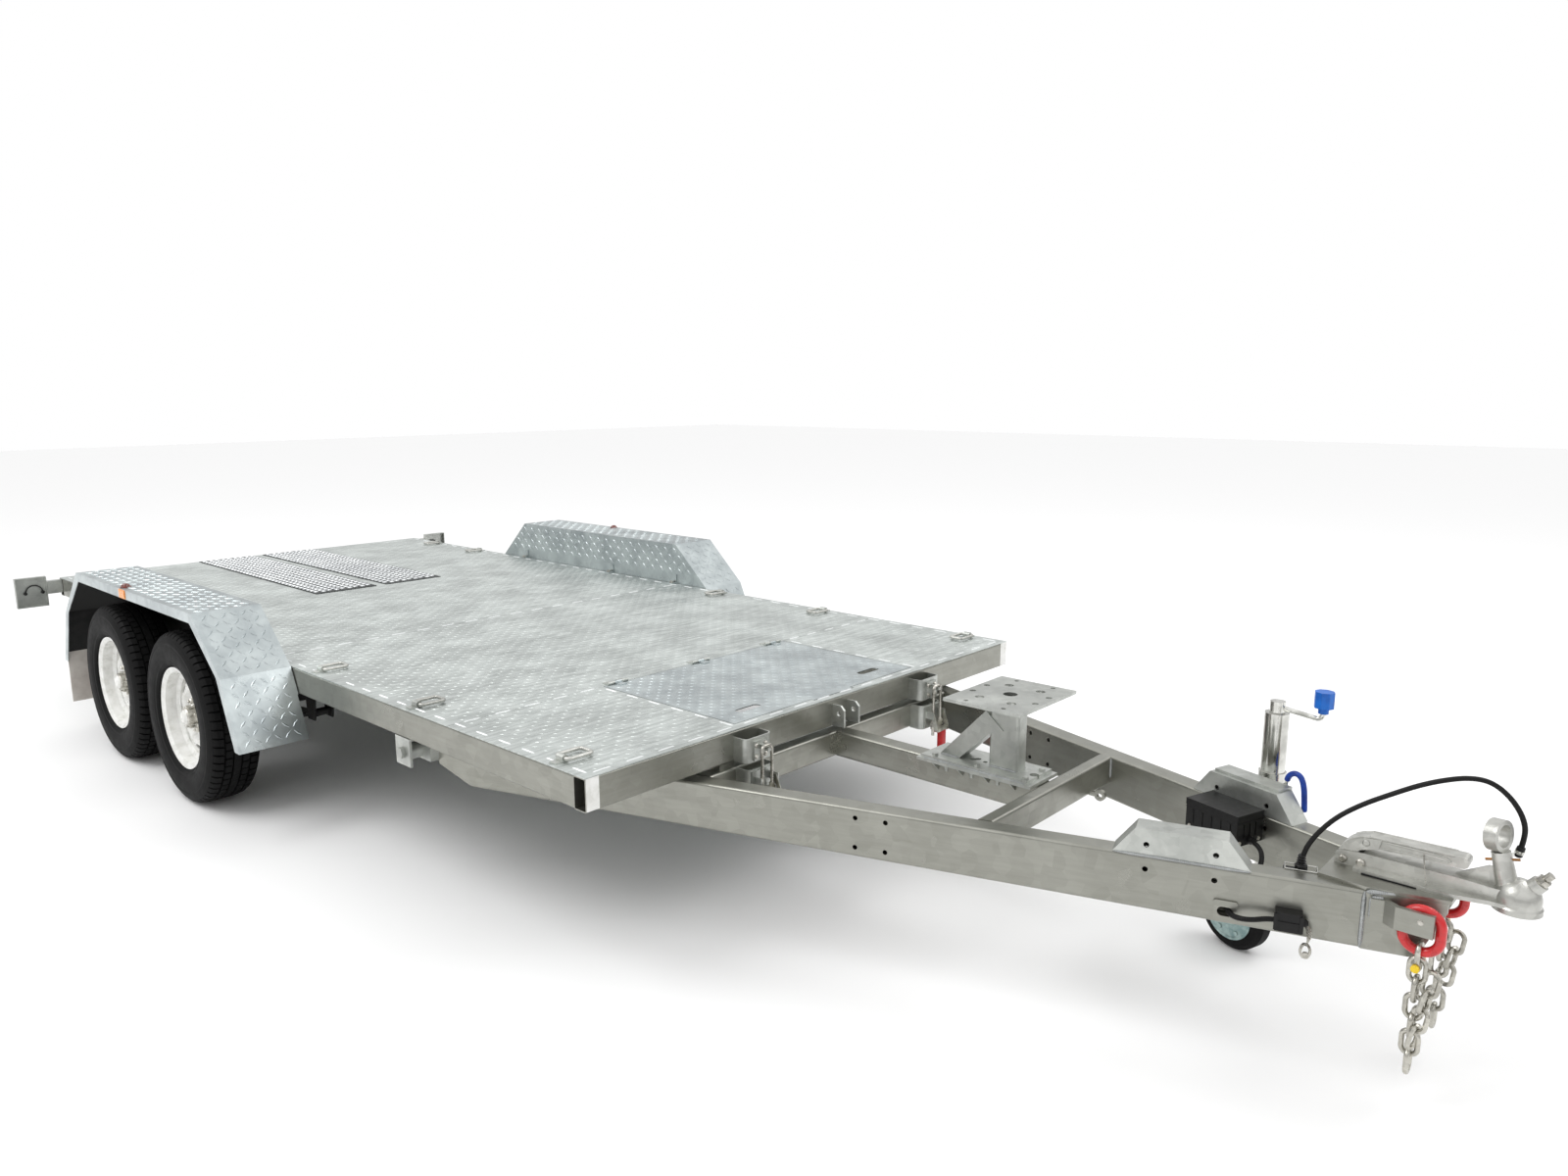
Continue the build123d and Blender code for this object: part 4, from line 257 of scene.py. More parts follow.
GRIP_TOP = 0.3705
KNOB_X = DECK_FRONT + 1.2975
KNOB_LOW = 0.7085
LEVER_FINISH = split_finish(
    "lever_finish",
    (tone(0.66, 0.66, 0.63), tone(0.84, 0.84, 0.80), tone(0.66, 0.04, 0.06), tone(0.76, 0.08, 0.09)),
    (1.0, 0.0), (0.30, 0.40),
    lambda f: f.spread(coordinate(f, 2), GRIP_TOP + 0.0005, GRIP_TOP))
CRANK_FINISH = split_finish(
    "crank_finish",
    (tone(0.74, 0.74, 0.72), tone(0.90, 0.90, 0.88), tone(0.00, 0.33, 0.68), tone(0.03, 0.42, 0.80)),
    (1.0, 0.0), (0.14, 0.32),
    lambda f: (f.spread(coordinate(f, 2), KNOB_LOW, KNOB_LOW + 0.0005)
               * f.spread(coordinate(f, 0), KNOB_X, KNOB_X + 0.0005)))

finishes = {}
for finish, names in (
        (DECK_ZINC, "deck_panel_front deck_panels_rear"),
        (TREAD_ZINC, "hatch fender_left fender_right"),
        (SHADED_STRIP_ZINC, "grip_strips"),
        (FLAP_SHEET, "mudflaps"),
        (BLACK_PAINT, "axles leaf_springs spring_hangers"),
        (CHAIN_ZINC, "safety_chains"),
        (RED_PAINT, "joining_rings"),
        (BRIGHT_PLATING, "jockey_tube jockey_leg"),
        (DULL_PLATING, "jockey_fork coupling_bolt latch_loops"),
        (CRANK_FINISH, "jockey_crank"),
        (LEVER_FINISH, "latch_lever_left latch_lever_right"),
        (BLUE_SLEEVE, "release_handle"),
        (BLACK_PLASTIC, "electrical_boxes"),
        (AMBER_LENS, "marker_lamps"),
        (CABLE_SHEATH, "lead_cable conduit"),
        (TYRE_RUBBER, "jockey_wheel tyre_left_1 tyre_left_2 tyre_right_1 tyre_right_2"),
        (WHITE_PAINT, "rim_left_1 rim_left_2 rim_right_1 rim_right_2"),
        (CAST_ZINC, "coupling_body coupling_lever tie_rings"),
        (PLATE_ZINC, "ring_straps hatch_hinges beam_risers winch_plate winch_post winch_base lamp_panels "
                     "deck_catches latch_bases centre_clevis pivot_brackets pivot_arms jockey_bracket")):
    for name in names.split():
        finishes[name] = finish
for name, node in nodes.items():
    node.data.materials.clear()
    node.data.materials.append(finishes.get(name, SHADED_BEAM_ZINC))


# Places in millimetres: from the deck's front edge, or along a drawbar beam from the nose
BEAM_TOP = 456


def at(x, y, z):
    return Vector((DECK_FRONT + x / 1000, y / 1000, z / 1000))


def on_beam(side, back, out, z):
    """Point a distance back from the nose and out from a beam's outer face, on the left (1) or right (-1)."""
    return Vector((NOSE_X - back / 1000 * COS_A + out / 1000 * SIN_A,
                   side * (NOSE_Y + back / 1000 * SIN_A + out / 1000 * COS_A), z / 1000))


def beam_out(side):
    return Vector((SIN_A, side * COS_A, 0))


def beam_back(side):
    return Vector((-COS_A, side * SIN_A, 0))


UP = Vector((0, 0, 1))
FORWARD = Vector((1, 0, 0))
LEFT = Vector((0, 1, 0))


def sideways(way):
    """Two directions square to the one given and to each other."""
    way = way.normalized()
    first = way.cross(UP if abs(way.z) < 0.9 else FORWARD).normalized()
    return first, way.cross(first).normalized()


class Shape:
    """A mesh that grows from plain solids and then rides a body as one piece. Lengths are in metres."""

    def __init__(self):
        self.bm = bmesh.new()

    def faces(self, points, sides):
        verts = [self.bm.verts.new(p) for p in points]
        for side in sides:
            self.bm.faces.new([verts[i] for i in side])

    def take(self, solid):
        """Close a solid's open ends, point its faces outwards and add it to the mesh."""
        bmesh.ops.holes_fill(solid, edges=solid.edges, sides=0)
        bmesh.ops.recalc_face_normals(solid, faces=solid.faces)
        mesh = bpy.data.meshes.new("solid")
        solid.to_mesh(mesh)
        solid.free()
        self.bm.from_mesh(mesh)
        bpy.data.meshes.remove(mesh)

    def box(self, middle, x_half, y_half, z_half):
        """Block from three half-edge vectors."""
        solid = bmesh.new()
        edges = Matrix((x_half, y_half, z_half)).transposed().to_4x4()
        bmesh.ops.create_cube(solid, size=2.0, matrix=Matrix.Translation(middle) @ edges)
        self.take(solid)

    def plate(self, outline, thick):
        """Flat plate: an outline of points, extruded by a vector."""
        solid = bmesh.new()
        face = solid.faces.new([solid.verts.new(point) for point in outline])
        grown = bmesh.ops.extrude_face_region(solid, geom=[face])["geom"]
        bmesh.ops.translate(solid, vec=thick, verts=[v for v in grown if isinstance(v, bmesh.types.BMVert)])
        self.take(solid)

    def slab(self, low, high):
        low, high = Vector(low), Vector(high)
        half = (high - low) / 2
        self.box((low + high) / 2, FORWARD * half.x, LEFT * half.y, UP * half.z)

    def turned(self, start, way, outline, sides=20, turn=0.0):
        """Solid turned about an axis: the outline lists each ring's distance along it and its radius."""
        way = way.normalized()
        first, second = sideways(way)
        spoke = math.cos(turn) * first + math.sin(turn) * second
        solid = bmesh.new()
        verts = [solid.verts.new(start + along * way + radius * spoke) for along, radius in outline]
        edges = [solid.edges.new(pair) for pair in zip(verts, verts[1:])]
        bmesh.ops.spin(solid, geom=verts + edges, cent=start, axis=way, angle=math.tau, steps=sides,
                       use_merge=True)
        self.take(solid)

    def rod(self, start, end, radius, sides=16):
        self.turned(start, end - start, [(0, radius), ((end - start).length, radius)], sides)

    def path(self, points, radius, sides):
        """Round wire or rod through all the points."""
        for start, end in zip(points, points[1:]):
            self.rod(start, end, radius, sides)

    def hexagon(self, seat, way, radius, height, turn=0.0):
        """Bolt head or nut with a chamfered top, on a washer."""
        washer = 0.15 * height
        self.turned(seat, way, [(0, 1.25 * radius), (washer, 1.25 * radius), (washer, radius)], 20)
        self.turned(seat, way, [(washer, radius), (0.9 * height, radius), (height, 0.86 * radius)], 6, turn)

    def bead(self, start, end, radius, ripple=0.004):
        """Weld bead: a line of overlapping ripples that taper at both ends."""
        length = (end - start).length
        count = max(4, int(length / ripple) * 2)
        outline = []
        for k in range(count + 1):
            share = k / count
            swell = min(1.0, 6 * share * (1 - share) + 0.35)
            outline.append((share * length, radius * swell * (1.0 if k % 2 else 0.82)))
        self.turned(start, end - start, outline, 7)

    def stud(self, middle, along, up, length, width, height):
        """Raised lozenge, sunk a little in the plate that it stands on."""
        across = up.cross(along)
        ring = [along * length / 2, across * width / 2, -along * length / 2, -across * width / 2]
        points = [middle + p - up * 0.0003 for p in ring] + [middle + 0.5 * p + up * height for p in ring]
        self.faces(points, [(0, 1, 5, 4), (1, 2, 6, 5), (2, 3, 7, 6), (3, 0, 4, 7), (4, 5, 6, 7)])

    def piece(self, name, body, material, slot):
        mesh = bpy.data.meshes.new(name)
        self.bm.to_mesh(mesh)
        self.bm.free()
        made = bpy.data.objects.new(name, mesh)
        bpy.context.scene.collection.objects.link(made)
        mesh.materials.append(material)
        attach(made, body)
        return made


# Tread plate: lozenges in two directions, a quarter turn apart
def tread(shape, corner, across, along, up, pitch, length, width, height, keep=None):
    """Rows of lozenges over the plate that two edge vectors span, where keep allows them."""
    rows = int(across.length / pitch)
    columns = int(along.length / pitch)
    way_a, way_b = across.normalized(), along.normalized()
    start = corner + (across - way_a * pitch * (rows - 1)) / 2 + (along - way_b * pitch * (columns - 1)) / 2
    for row in range(rows):
        for column in range(columns):
            middle = start + way_a * pitch * row + way_b * pitch * column
            if keep is None or keep(middle):
                slant = way_a + way_b if (row + column) % 2 else way_a - way_b
                shape.stud(middle, slant.normalized(), up, length, width, height)


# Pitch, length, width and height of the lozenges
COARSE = (0.0335, 0.036, 0.0090, 0.0022)
FINE = (0.0240, 0.024, 0.0070, 0.0011)
DECK_GRID = (0.0260, 0.025, 0.0068, 0.0009)
BOGIE_X = -1251.0
FENDER_IN = 1003.0
FENDER_OUT = 1240.5
FENDER_TOP = 760.5
FENDER_LINE = [(-963.5, 326.0), (-856.6, 565.0), (-641.6, 760.5),
               (641.6, 760.5), (856.6, 565.0), (963.5, 326.0)]
LUG_STEPS = (-636.5, 133.5, 628.5)


def fender_tread(side):
    shape = Shape()
    for (x0, z0), (x1, z1) in zip(FENDER_LINE, FENDER_LINE[1:]):
        start = Vector(((BOGIE_X + x0) / 1000, side * (FENDER_IN + 4) / 1000, z0 / 1000))
        along = Vector(((x1 - x0) / 1000, 0, (z1 - z0) / 1000))
        across = Vector((0, side * (FENDER_OUT - FENDER_IN - 8) / 1000, 0))
        up = Vector((z0 - z1, 0, x1 - x0)).normalized()
        tread(shape, start, across, along, up, *COARSE)
    # The inner side shows above the deck
    slope = 215.0 / 195.5

    def over_deck(p):
        reach = 856.6 - slope * (p.z * 1000 - 565.0) - 22
        return abs(p.x * 1000 - BOGIE_X) < reach and p.z > 0.622
    tread(shape, Vector(((BOGIE_X - 856) / 1000, side * FENDER_IN / 1000, 0.572)), Vector((0, 0, 0.184)),
          Vector((1.712, 0, 0)), Vector((0, -side, 0)), *COARSE, over_deck)
    name = "left" if side > 0 else "right"
    shape.piece(f"fender_tread_{name}", "deck", TREAD_ZINC, "tread_plate")


def hatch_tread():
    shape = Shape()
    slots = [Vector((DECK_FRONT - 0.12, y, 0)) for y in (-0.295, 0.295)]

    def clear_of_slots(p):
        return all(abs(p.x - slot.x) > 0.028 or abs(p.y - slot.y) > 0.066 for slot in slots)
    tread(shape, at(-638, -430, 565), Vector((0.596, 0, 0)), Vector((0, 0.86, 0)), UP, *FINE, clear_of_slots)
    shape.piece("hatch_tread", "hatch", TREAD_ZINC, "hatch_plate")


def deck_tread():
    """Fine lozenges over the whole deck, but not on the hatch, the grip strips or the seam."""
    shape = Shape()

    def open_deck(p):
        on_hatch = p.x > DECK_FRONT - HATCH_REACH and abs(p.y) < HATCH_HALF
        on_strip = p.x < DECK_REAR + STRIP_REACH and abs(abs(p.y) - STRIP_Y) < STRIP_HALF
        on_seam = abs(p.x - SEAM_X) < TREAD_MARGIN
        return not (on_hatch or on_strip or on_seam)
    tread(shape, Vector((DECK_REAR + TREAD_MARGIN, -0.955, DECK_TOP)), Vector((4.39, 0, 0)),
          Vector((0, 1.91, 0)), UP, *DECK_GRID, open_deck)
    shape.piece("deck_tread", "deck", DECK_ZINC, "galvanised_steel")


def grip_studs():
    """Pressed craters over the two rear strips, each row half a step from its neighbour."""
    shape = Shape()
    crater = [(0, 0.0128), (0.0034, 0.0100), (0.0036, 0.0080), (0.0008, 0.0062)]
    rows, row_pitch, columns, column_pitch, strip_top = 9, 0.0325, 36, 0.0395, 0.5678
    for middle_y in (-STRIP_Y, STRIP_Y):
        for row in range(rows):
            y = middle_y + (row - rows // 2) * row_pitch
            for column in range(columns):
                x = DECK_REAR + 0.016 + 0.024 + column * column_pitch + (0.012 if row % 2 else 0.0)
                shape.turned(Vector((x, y, strip_top)), UP, crater, 10)
    shape.piece("grip_studs", "deck", GRIP_ZINC, "grip_steel")


for side in (1, -1):
    fender_tread(side)
hatch_tread()
deck_tread()
grip_studs()


# Wheels: tyres with ribs and shoulder blocks, nuts, cap and valve
WHEELS = {"left_1": (1, -880.5), "left_2": (1, -1621.5), "right_1": (-1, -880.5), "right_2": (-1, -1621.5)}
AXLE_Z = 0.325
RIM_MID = 1.1425
DISC_Y = 1.1625
NUT_CIRCLE = 0.057
VALVE_CIRCLE = 0.146
VALVE_TURN = 1.1
# Points across half a tyre: distance from its middle and radius, in millimetres, with the groove's depth
SIDEWALL = [(63.5, 178.3), (67.5, 192.5), (75, 198), (81, 202), (84, 206), (86.5, 210), (87.2, 214),
            (87.0, 217), (90.0, 228), (92.2, 243), (92.8, 256), (92.4, 268), (91.0, 279), (91.8, 282),
            (91.2, 287), (87.5, 297), (81.5, 308)]
TREAD = [(74.0, 316.5, 7.0), (66.0, 321.0, 8.0), (47.0, 323.6, 8.0), (45.6, 316.0, 0), (42.0, 316.0, 0),
         (40.6, 324.2, 5.0), (18.5, 324.9, 5.0), (17.0, 316.4, 0), (13.0, 316.4, 0), (11.6, 324.9, 0.6)]
PITCHES = 62
PITCH_STEPS = ((0.0, 0), (0.05, 1), (0.17, 1), (0.22, 0), (0.6, 0))


def tyre(name, side, wheel_x):
    """Rings of points across the tyre, whose radius drops in the cross grooves."""
    half = [(y, r, 0) for y, r in SIDEWALL] + TREAD
    profile = half + [(-y, r, depth) for y, r, depth in reversed(half)]
    shape = Shape()
    rings = []
    for pitch in range(PITCHES):
        for share, groove in PITCH_STEPS:
            ring = []
            for y, r, depth in profile:
                lean = 0.010 * math.sin(y / 22.0) if depth else 0.0
                shift = 0.5 if 5 > depth or depth > 6 else 0.0
                angle = math.tau * (pitch + share + shift) / PITCHES + lean
                radius = (r - depth * groove) / 1000
                ring.append(shape.bm.verts.new((wheel_x / 1000 + radius * math.cos(angle),
                                                side * RIM_MID + y / 1000,
                                                AXLE_Z + radius * math.sin(angle))))
            rings.append(ring)
    for i, ring in enumerate(rings):
        before = rings[i - 1]
        for k in range(len(ring) - 1):
            shape.bm.faces.new((before[k], before[k + 1], ring[k + 1], ring[k]))
    bmesh.ops.recalc_face_normals(shape.bm, faces=shape.bm.faces)
    made = shape.piece(f"tyre_tread_{name}", f"wheel_{name}", TYRE_RUBBER, "tyre_rubber")
    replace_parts(made, f"tyre_{name}")


def wheel_fittings(name, side, wheel_x):
    shape = Shape()
    out = Vector((0, side, 0))
    hub = Vector((wheel_x / 1000, side * (DISC_Y - 0.004), AXLE_Z))
    for k in range(5):
        angle = math.tau * k / 5 + 0.3
        seat = hub + NUT_CIRCLE * Vector((math.cos(angle), 0, math.sin(angle)))
        shape.turned(seat, out, [(0, 0.0135), (0.004, 0.0105)], 16)
        shape.turned(seat, out, [(0.003, 0.0105), (0.020, 0.0105), (0.023, 0.008)], 6, angle)
        shape.turned(seat, out, [(0.0, 0.0055), (0.029, 0.0055), (0.031, 0.0045)], 10)
    shape.turned(hub, out, [(0.0, 0.041), (0.005, 0.041), (0.007, 0.0355),
                            (0.041, 0.0352), (0.046, 0.031)], 32)
    shape.piece(f"wheel_nuts_{name}", f"wheel_{name}", DULL_PLATING, "bright_zinc")
    valve = Shape()
    foot = hub + VALVE_CIRCLE * Vector((math.cos(VALVE_TURN), 0, math.sin(VALVE_TURN)))
    valve.turned(foot, out, [(0, 0.008), (0.006, 0.0065), (0.022, 0.004), (0.034, 0.004), (0.036, 0.003)], 12)
    valve.piece(f"valve_{name}", f"wheel_{name}", BLACK_PLASTIC, "black_plastic")


for name, (side, wheel_x) in WHEELS.items():
    tyre(name, side, wheel_x)
    wheel_fittings(name, side, wheel_x)


# Bolts of the fenders' lugs and of the coupling
def fender_bolts():
    shape = Shape()
    for side in (1, -1):
        for step in LUG_STEPS:
            shape.hexagon(Vector(((BOGIE_X + step) / 1000, side * 0.984, 0.570)), UP, 0.0095, 0.009, step)
    shape.piece("fender_bolts", "deck", DULL_PLATING, "bright_zinc")


fender_bolts()


def coupling_bolts():
    shape = Shape()
    for back in (1485, 1522):
        for side in (-1, 1):
            shape.turned(at(back, side * 27.5, 477), LEFT * side,
                         [(0, 0.0095), (0.003, 0.009), (0.006, 0.006)], 18)
    for side in (1, -1):
        shape.turned(Vector((DECK_FRONT + 1.669, side * 0.1375, 0.427)), Vector((0, side, 0)),
                     [(0, 0.0065), (0.0010, 0.0060), (0.0016, 0.0040)], 18)
    shape.piece("coupling_bolts", "drawbar", DULL_PLATING, "bright_zinc")


coupling_bolts()


def coupling_details():
    """Pin through the post, black strips of painted shade in the gap under the flange, and the wire that
    holds the lever down.
    """
    pin = Shape()
    middle = at(1778.7, 0, 554)
    way = Vector((0.97, 0, 0.25)).normalized()
    pin.rod(middle - 0.0312 * way, middle + 0.0312 * way, 0.0029, 12)
    pin.piece("post_pin", "drawbar", PIN_COPPER, "cast_head")
    # Black strips under the flange: painted shade in the gap between the flange and the nose plate.
    gap_shade = Shape()
    for side in (1, -1):
        y0, y1 = sorted((side * 50, side * 60.4))
        gap_shade.slab(at(1532, y0, 464.1), at(1640, y1, 466.6))
    gap_shade.piece("flange_gap_shade", "drawbar", BLACK_PAINT, "dark_steel")
    wire = Shape()
    corners = [at(1650, 44, 474), at(1642, 21, 529.5), at(1640, -21, 529.5), at(1654, -44, 474)]
    wire.path(corners, 0.0011, 8)
    for corner in corners:
        wire.turned(corner - 0.0011 * UP, UP, [(0, 0.0011), (0.0022, 0.0011)], 8)
    wire.piece("lever_wire", "coupling_lever", DULL_PLATING, "bright_zinc")


coupling_details()


# The lever's pin, in millimetres
LEVER_X = 1482.6
LEVER_Z = 479.0


def at_lever(along, y, up):
    """Point measured from the lever's pin."""
    return at(LEVER_X + along, y, LEVER_Z + up)


def lever_details():
    """Ribs and cheeks on the lever's sides, with the teeth and bosses of the casting under it."""
    shape = Shape()
    for side in (1, -1):
        y = side * 20.2
        frame_line = [(84, 56), (168, 57), (200, 55), (208, 50), (200, 45), (168, 45), (84, 42)]
        ends = [at_lever(along, y, up) for along, up in frame_line]
        shape.path(ends, 0.0024, 8)
        for end in ends:
            shape.turned(end - 0.0024 * LEFT, LEFT, [(0, 0.0010), (0.0024, 0.0024), (0.0048, 0.0010)], 8)
        cheek = [(30, 34), (46, 30), (72, 40), (76, 60), (40, 56)]
        shape.plate([at_lever(along, side * 19.8, up) for along, up in cheek], LEFT * side * 0.0052)
        shape.turned(at_lever(46, side * 24.8, 46), LEFT * side,
                     [(0, 0.0080), (0.0026, 0.0074), (0.0040, 0.0045)], 18)
        lip = [(16, 47), (32, 55), (52, 60.4)] + [(52 + 18 * k, 60.4 + 0.4 * k) for k in range(1, 10)]
        shape.path([at_lever(along, side * 18.2, up - 1) for along, up in lip], 0.0030, 8)
    shape.piece("lever_ribs", "coupling_lever", CAST_ZINC, "cast_head")


lever_details()


# Slack of the chains: a second strand beside each hanging one, doubled back to its shackle
def chain_link(shape, middle, long_way, wide_way, length=0.064, width=0.042, rod=0.0055):
    """Oblong link of round rod: two half turns and two straight sides."""
    long_way, wide_way = long_way.normalized(), wide_way.normalized()
    reach, radius = length / 2 - width / 2, width / 2 - rod
    steps, sides = 20, 8
    line = []
    for k in range(steps):
        angle = math.tau * k / steps
        along = math.sin(angle)
        shift = reach if k in (0, steps // 2) else math.copysign(reach, along)
        line.append(middle + wide_way * radius * math.cos(angle) + long_way * (radius * along + shift))
    rings = []
    normal = long_way.cross(wide_way)
    for k, point in enumerate(line):
        way = (line[(k + 1) % steps] - line[k - 1]).normalized()
        out = way.cross(normal)
        rings.append([shape.bm.verts.new(point + rod * (math.cos(a) * out + math.sin(a) * normal))
                      for a in [math.tau * n / sides for n in range(sides)]])
    for k, ring in enumerate(rings):
        before = rings[k - 1]
        for n in range(sides):
            shape.bm.faces.new((before[n - 1], before[n], ring[n], ring[n - 1]))


def chain_slack():
    shape = Shape()
    for side in (1, -1):
        middle = at(1697, side * 119, 290)
        lean = Vector((-0.16, 0.05 * side, -1)).normalized()
        for number in range(4 if side < 0 else 3):
            wide = Vector((0.35, 1, 0)) if number % 2 else Vector((1, -0.35, 0.1))
            chain_link(shape, middle, lean, wide - wide.dot(lean) * lean)
            middle = middle + lean * 0.0425
    bmesh.ops.recalc_face_normals(shape.bm, faces=shape.bm.faces)
    shape.piece("chain_slack", "drawbar", CHAIN_ZINC, "chain_zinc")


chain_slack()


# Jockey wheel: plated rim on both sides of the rubber, with its hub and bolts
def jockey_rim():
    shape = Shape()
    axle = on_beam(1, 452, 58, 100)
    for way in (beam_out(1), -beam_out(1)):
        shape.turned(axle + 0.0290 * way, way,
                     [(0, 0.0700), (0.0030, 0.0700), (0.0034, 0.0680), (0.0030, 0.0650),
                      (0.0012, 0.0610), (0.0008, 0.0400), (0.0014, 0.0330)], 36)
        shape.turned(axle + 0.0310 * way, way, [(0, 0.030), (0.0025, 0.030), (0.0030, 0.028)], 28)
        for k in range(6):
            angle = math.tau * k / 6
            first, second = sideways(way)
            seat = axle + 0.0318 * way + 0.052 * (math.cos(angle) * first + math.sin(angle) * second)
            shape.turned(seat, way, [(0, 0.007), (0.0018, 0.006)], 10)
    shape.piece("jockey_rim", "jockey_wheel", TEAL_ZINC, "bright_zinc")


jockey_rim()


def shackle_heads():
    shape = Shape()
    for side in (1, -1):
        for end in (1, -1):
            seat = Vector((DECK_FRONT + 1.669, side * 0.1145 + end * 0.0245, 0.3245))
            shape.turned(seat, Vector((0, end, 0)), [(0, 0.0088), (0.006, 0.0088), (0.0075, 0.007)], 8)
    shape.piece("shackle_heads", "drawbar", YELLOW_PAINT, "chain_zinc")


shackle_heads()


# Welds on the deck: short plug welds along its edges and seams
def stitches(shape, start, way, count, pitch, length):
    """A row of flat weld beads, seen as short bright dashes."""
    for k in range(count):
        middle = start + way * pitch * k
        shape.bead(middle - way * length / 2, middle + way * length / 2, 0.0042)


def deck_welds():
    shape = Shape()
    low = 0.5632
    for side in (1, -1):
        stitches(shape, Vector((DECK_FRONT - 0.06, side * 0.972, low)), -FORWARD, 12, 0.112, 0.062)
        stitches(shape, Vector((DECK_REAR + 0.08, side * 0.972, low)), FORWARD, 26, 0.112, 0.062)
        stitches(shape, Vector((DECK_FRONT - 0.642, side * 0.50, low)), LEFT * side, 5, 0.105, 0.058)
        stitches(shape, Vector((DECK_FRONT - 0.06, side * 0.448, low)), -FORWARD, 6, 0.105, 0.058)
    stitches(shape, Vector((DECK_FRONT - 0.022, -0.93, low)), LEFT, 18, 0.1094, 0.062)
    stitches(shape, Vector((SEAM_X, -0.93, low)), LEFT, 18, 0.1094, 0.062)
    shape.piece("deck_welds", "deck", BRIGHT_ZINC, "galvanised_steel")


deck_welds()


def drawbar_welds():
    shape = Shape()
    for side in (1, -1):
        # Seam between beam and nose box, then along the nose box's top edge
        shape.bead(on_beam(side, 1, 0.5, 326), on_beam(side, 1, 0.5, BEAM_TOP), 0.0055)
        shape.bead(on_beam(side, -2, 0.5, BEAM_TOP), on_beam(side, -62, -8, BEAM_TOP), 0.0055)
        # Round the tab of the chain arm
        shape.bead(on_beam(side, -12, -2, 397), on_beam(side, -12, -2, 445), 0.0045)
        shape.bead(on_beam(side, -13, 2, 446.5), on_beam(side, -36, 0, 446.5), 0.0045)
        shape.bead(on_beam(side, -13, 2, 395.5), on_beam(side, -36, 0, 395.5), 0.0045)
        # Under the riser plate
        shape.bead(on_beam(side, 522, 0.5, BEAM_TOP), on_beam(side, 228, 0.5, BEAM_TOP), 0.0038)
        # Beam ends at the front crossmember
        shape.bead(at(762, side * 322, 450), at(762, side * 322, 392), 0.0042)
        # Post and brace on the winch base
        shape.bead(at(562, side * 25.5, 474.5), at(650, side * 25.5, 474.5), 0.0045)
        shape.bead(at(404, side * 28.5, 474.5), at(462, side * 28.5, 474.5), 0.0042)
        shape.bead(at(366, side * 68.5, 465.5), at(700, side * 68.5, 465.5), 0.0040)
    shape.piece("drawbar_welds", "drawbar", WELD_ZINC, "galvanised_steel")


drawbar_welds()


# White reflective strips at the deck's front corners
def reflective_strips():
    shape = Shape()
    for side in (1, -1):
        y0, y1 = sorted((side * 958, side * 999))
        shape.slab(at(0, y0, 475), at(0.8, y1, 562))
    shape.piece("reflective_strips", "deck", WHITE_PAINT, "rim_paint")


reflective_strips()


def marker_lamps():
    """Dark domes on the fenders' tops, and amber reflectors in frames on their lips."""
    domes = Shape()
    plates = Shape()
    for side in (1, -1):
        middle = Vector(((BOGIE_X - 100) / 1000, side * (FENDER_OUT - 26.25) / 1000, FENDER_TOP / 1000))
        outline = [(0, 0.0195), (0.004, 0.0195), (0.005, 0.0165)]
        outline += [(0.005 + 0.0108 * math.sin(a), 0.0160 * math.cos(a)) for a in (0.2, 0.5, 0.8, 1.1, 1.35)]
        domes.turned(middle, UP, outline, 28)
        y0, y1 = sorted((side * FENDER_OUT / 1000, side * (FENDER_OUT + 2.9) / 1000))
        x0 = (BOGIE_X - 90) / 1000
        plates.slab((x0, y0, 0.7285), (x0 + 0.060, y1, 0.7565))
        y0, y1 = sorted((side * FENDER_OUT / 1000, side * (FENDER_OUT + 1.5) / 1000))
        plates.slab((x0 - 0.004, y0, 0.7250), (x0 + 0.064, y1, 0.7600))
    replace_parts(domes.piece("marker_domes", "deck", DARK_LENS, "amber_plastic"), "marker_lamps")
    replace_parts(plates.piece("marker_reflectors", "deck", AMBER_LENS, "amber_plastic"), "marker_lamps")


marker_lamps()


def lamp_wires():
    """Wire of each tail lamp, looped over the front of its panel between two grommets."""
    shape = Shape()
    for side in (1, -1):
        points = []
        for k in range(15):
            t = math.pi * k / 14
            points.append(Vector((DECK_REAR + 0.012, side * (1.120 - 0.038 * math.cos(t)),
                                  0.50 + 0.040 * math.sin(t))))
        shape.path(points, 0.0032, 8)
        for end in (points[0], points[-1]):
            shape.turned(Vector((DECK_REAR + 0.003, end.y, end.z)), FORWARD,
                         [(0, 0.009), (0.009, 0.008), (0.011, 0.005)], 14)
    shape.piece("lamp_wires", "deck", BLACK_PLASTIC, "black_plastic")


lamp_wires()
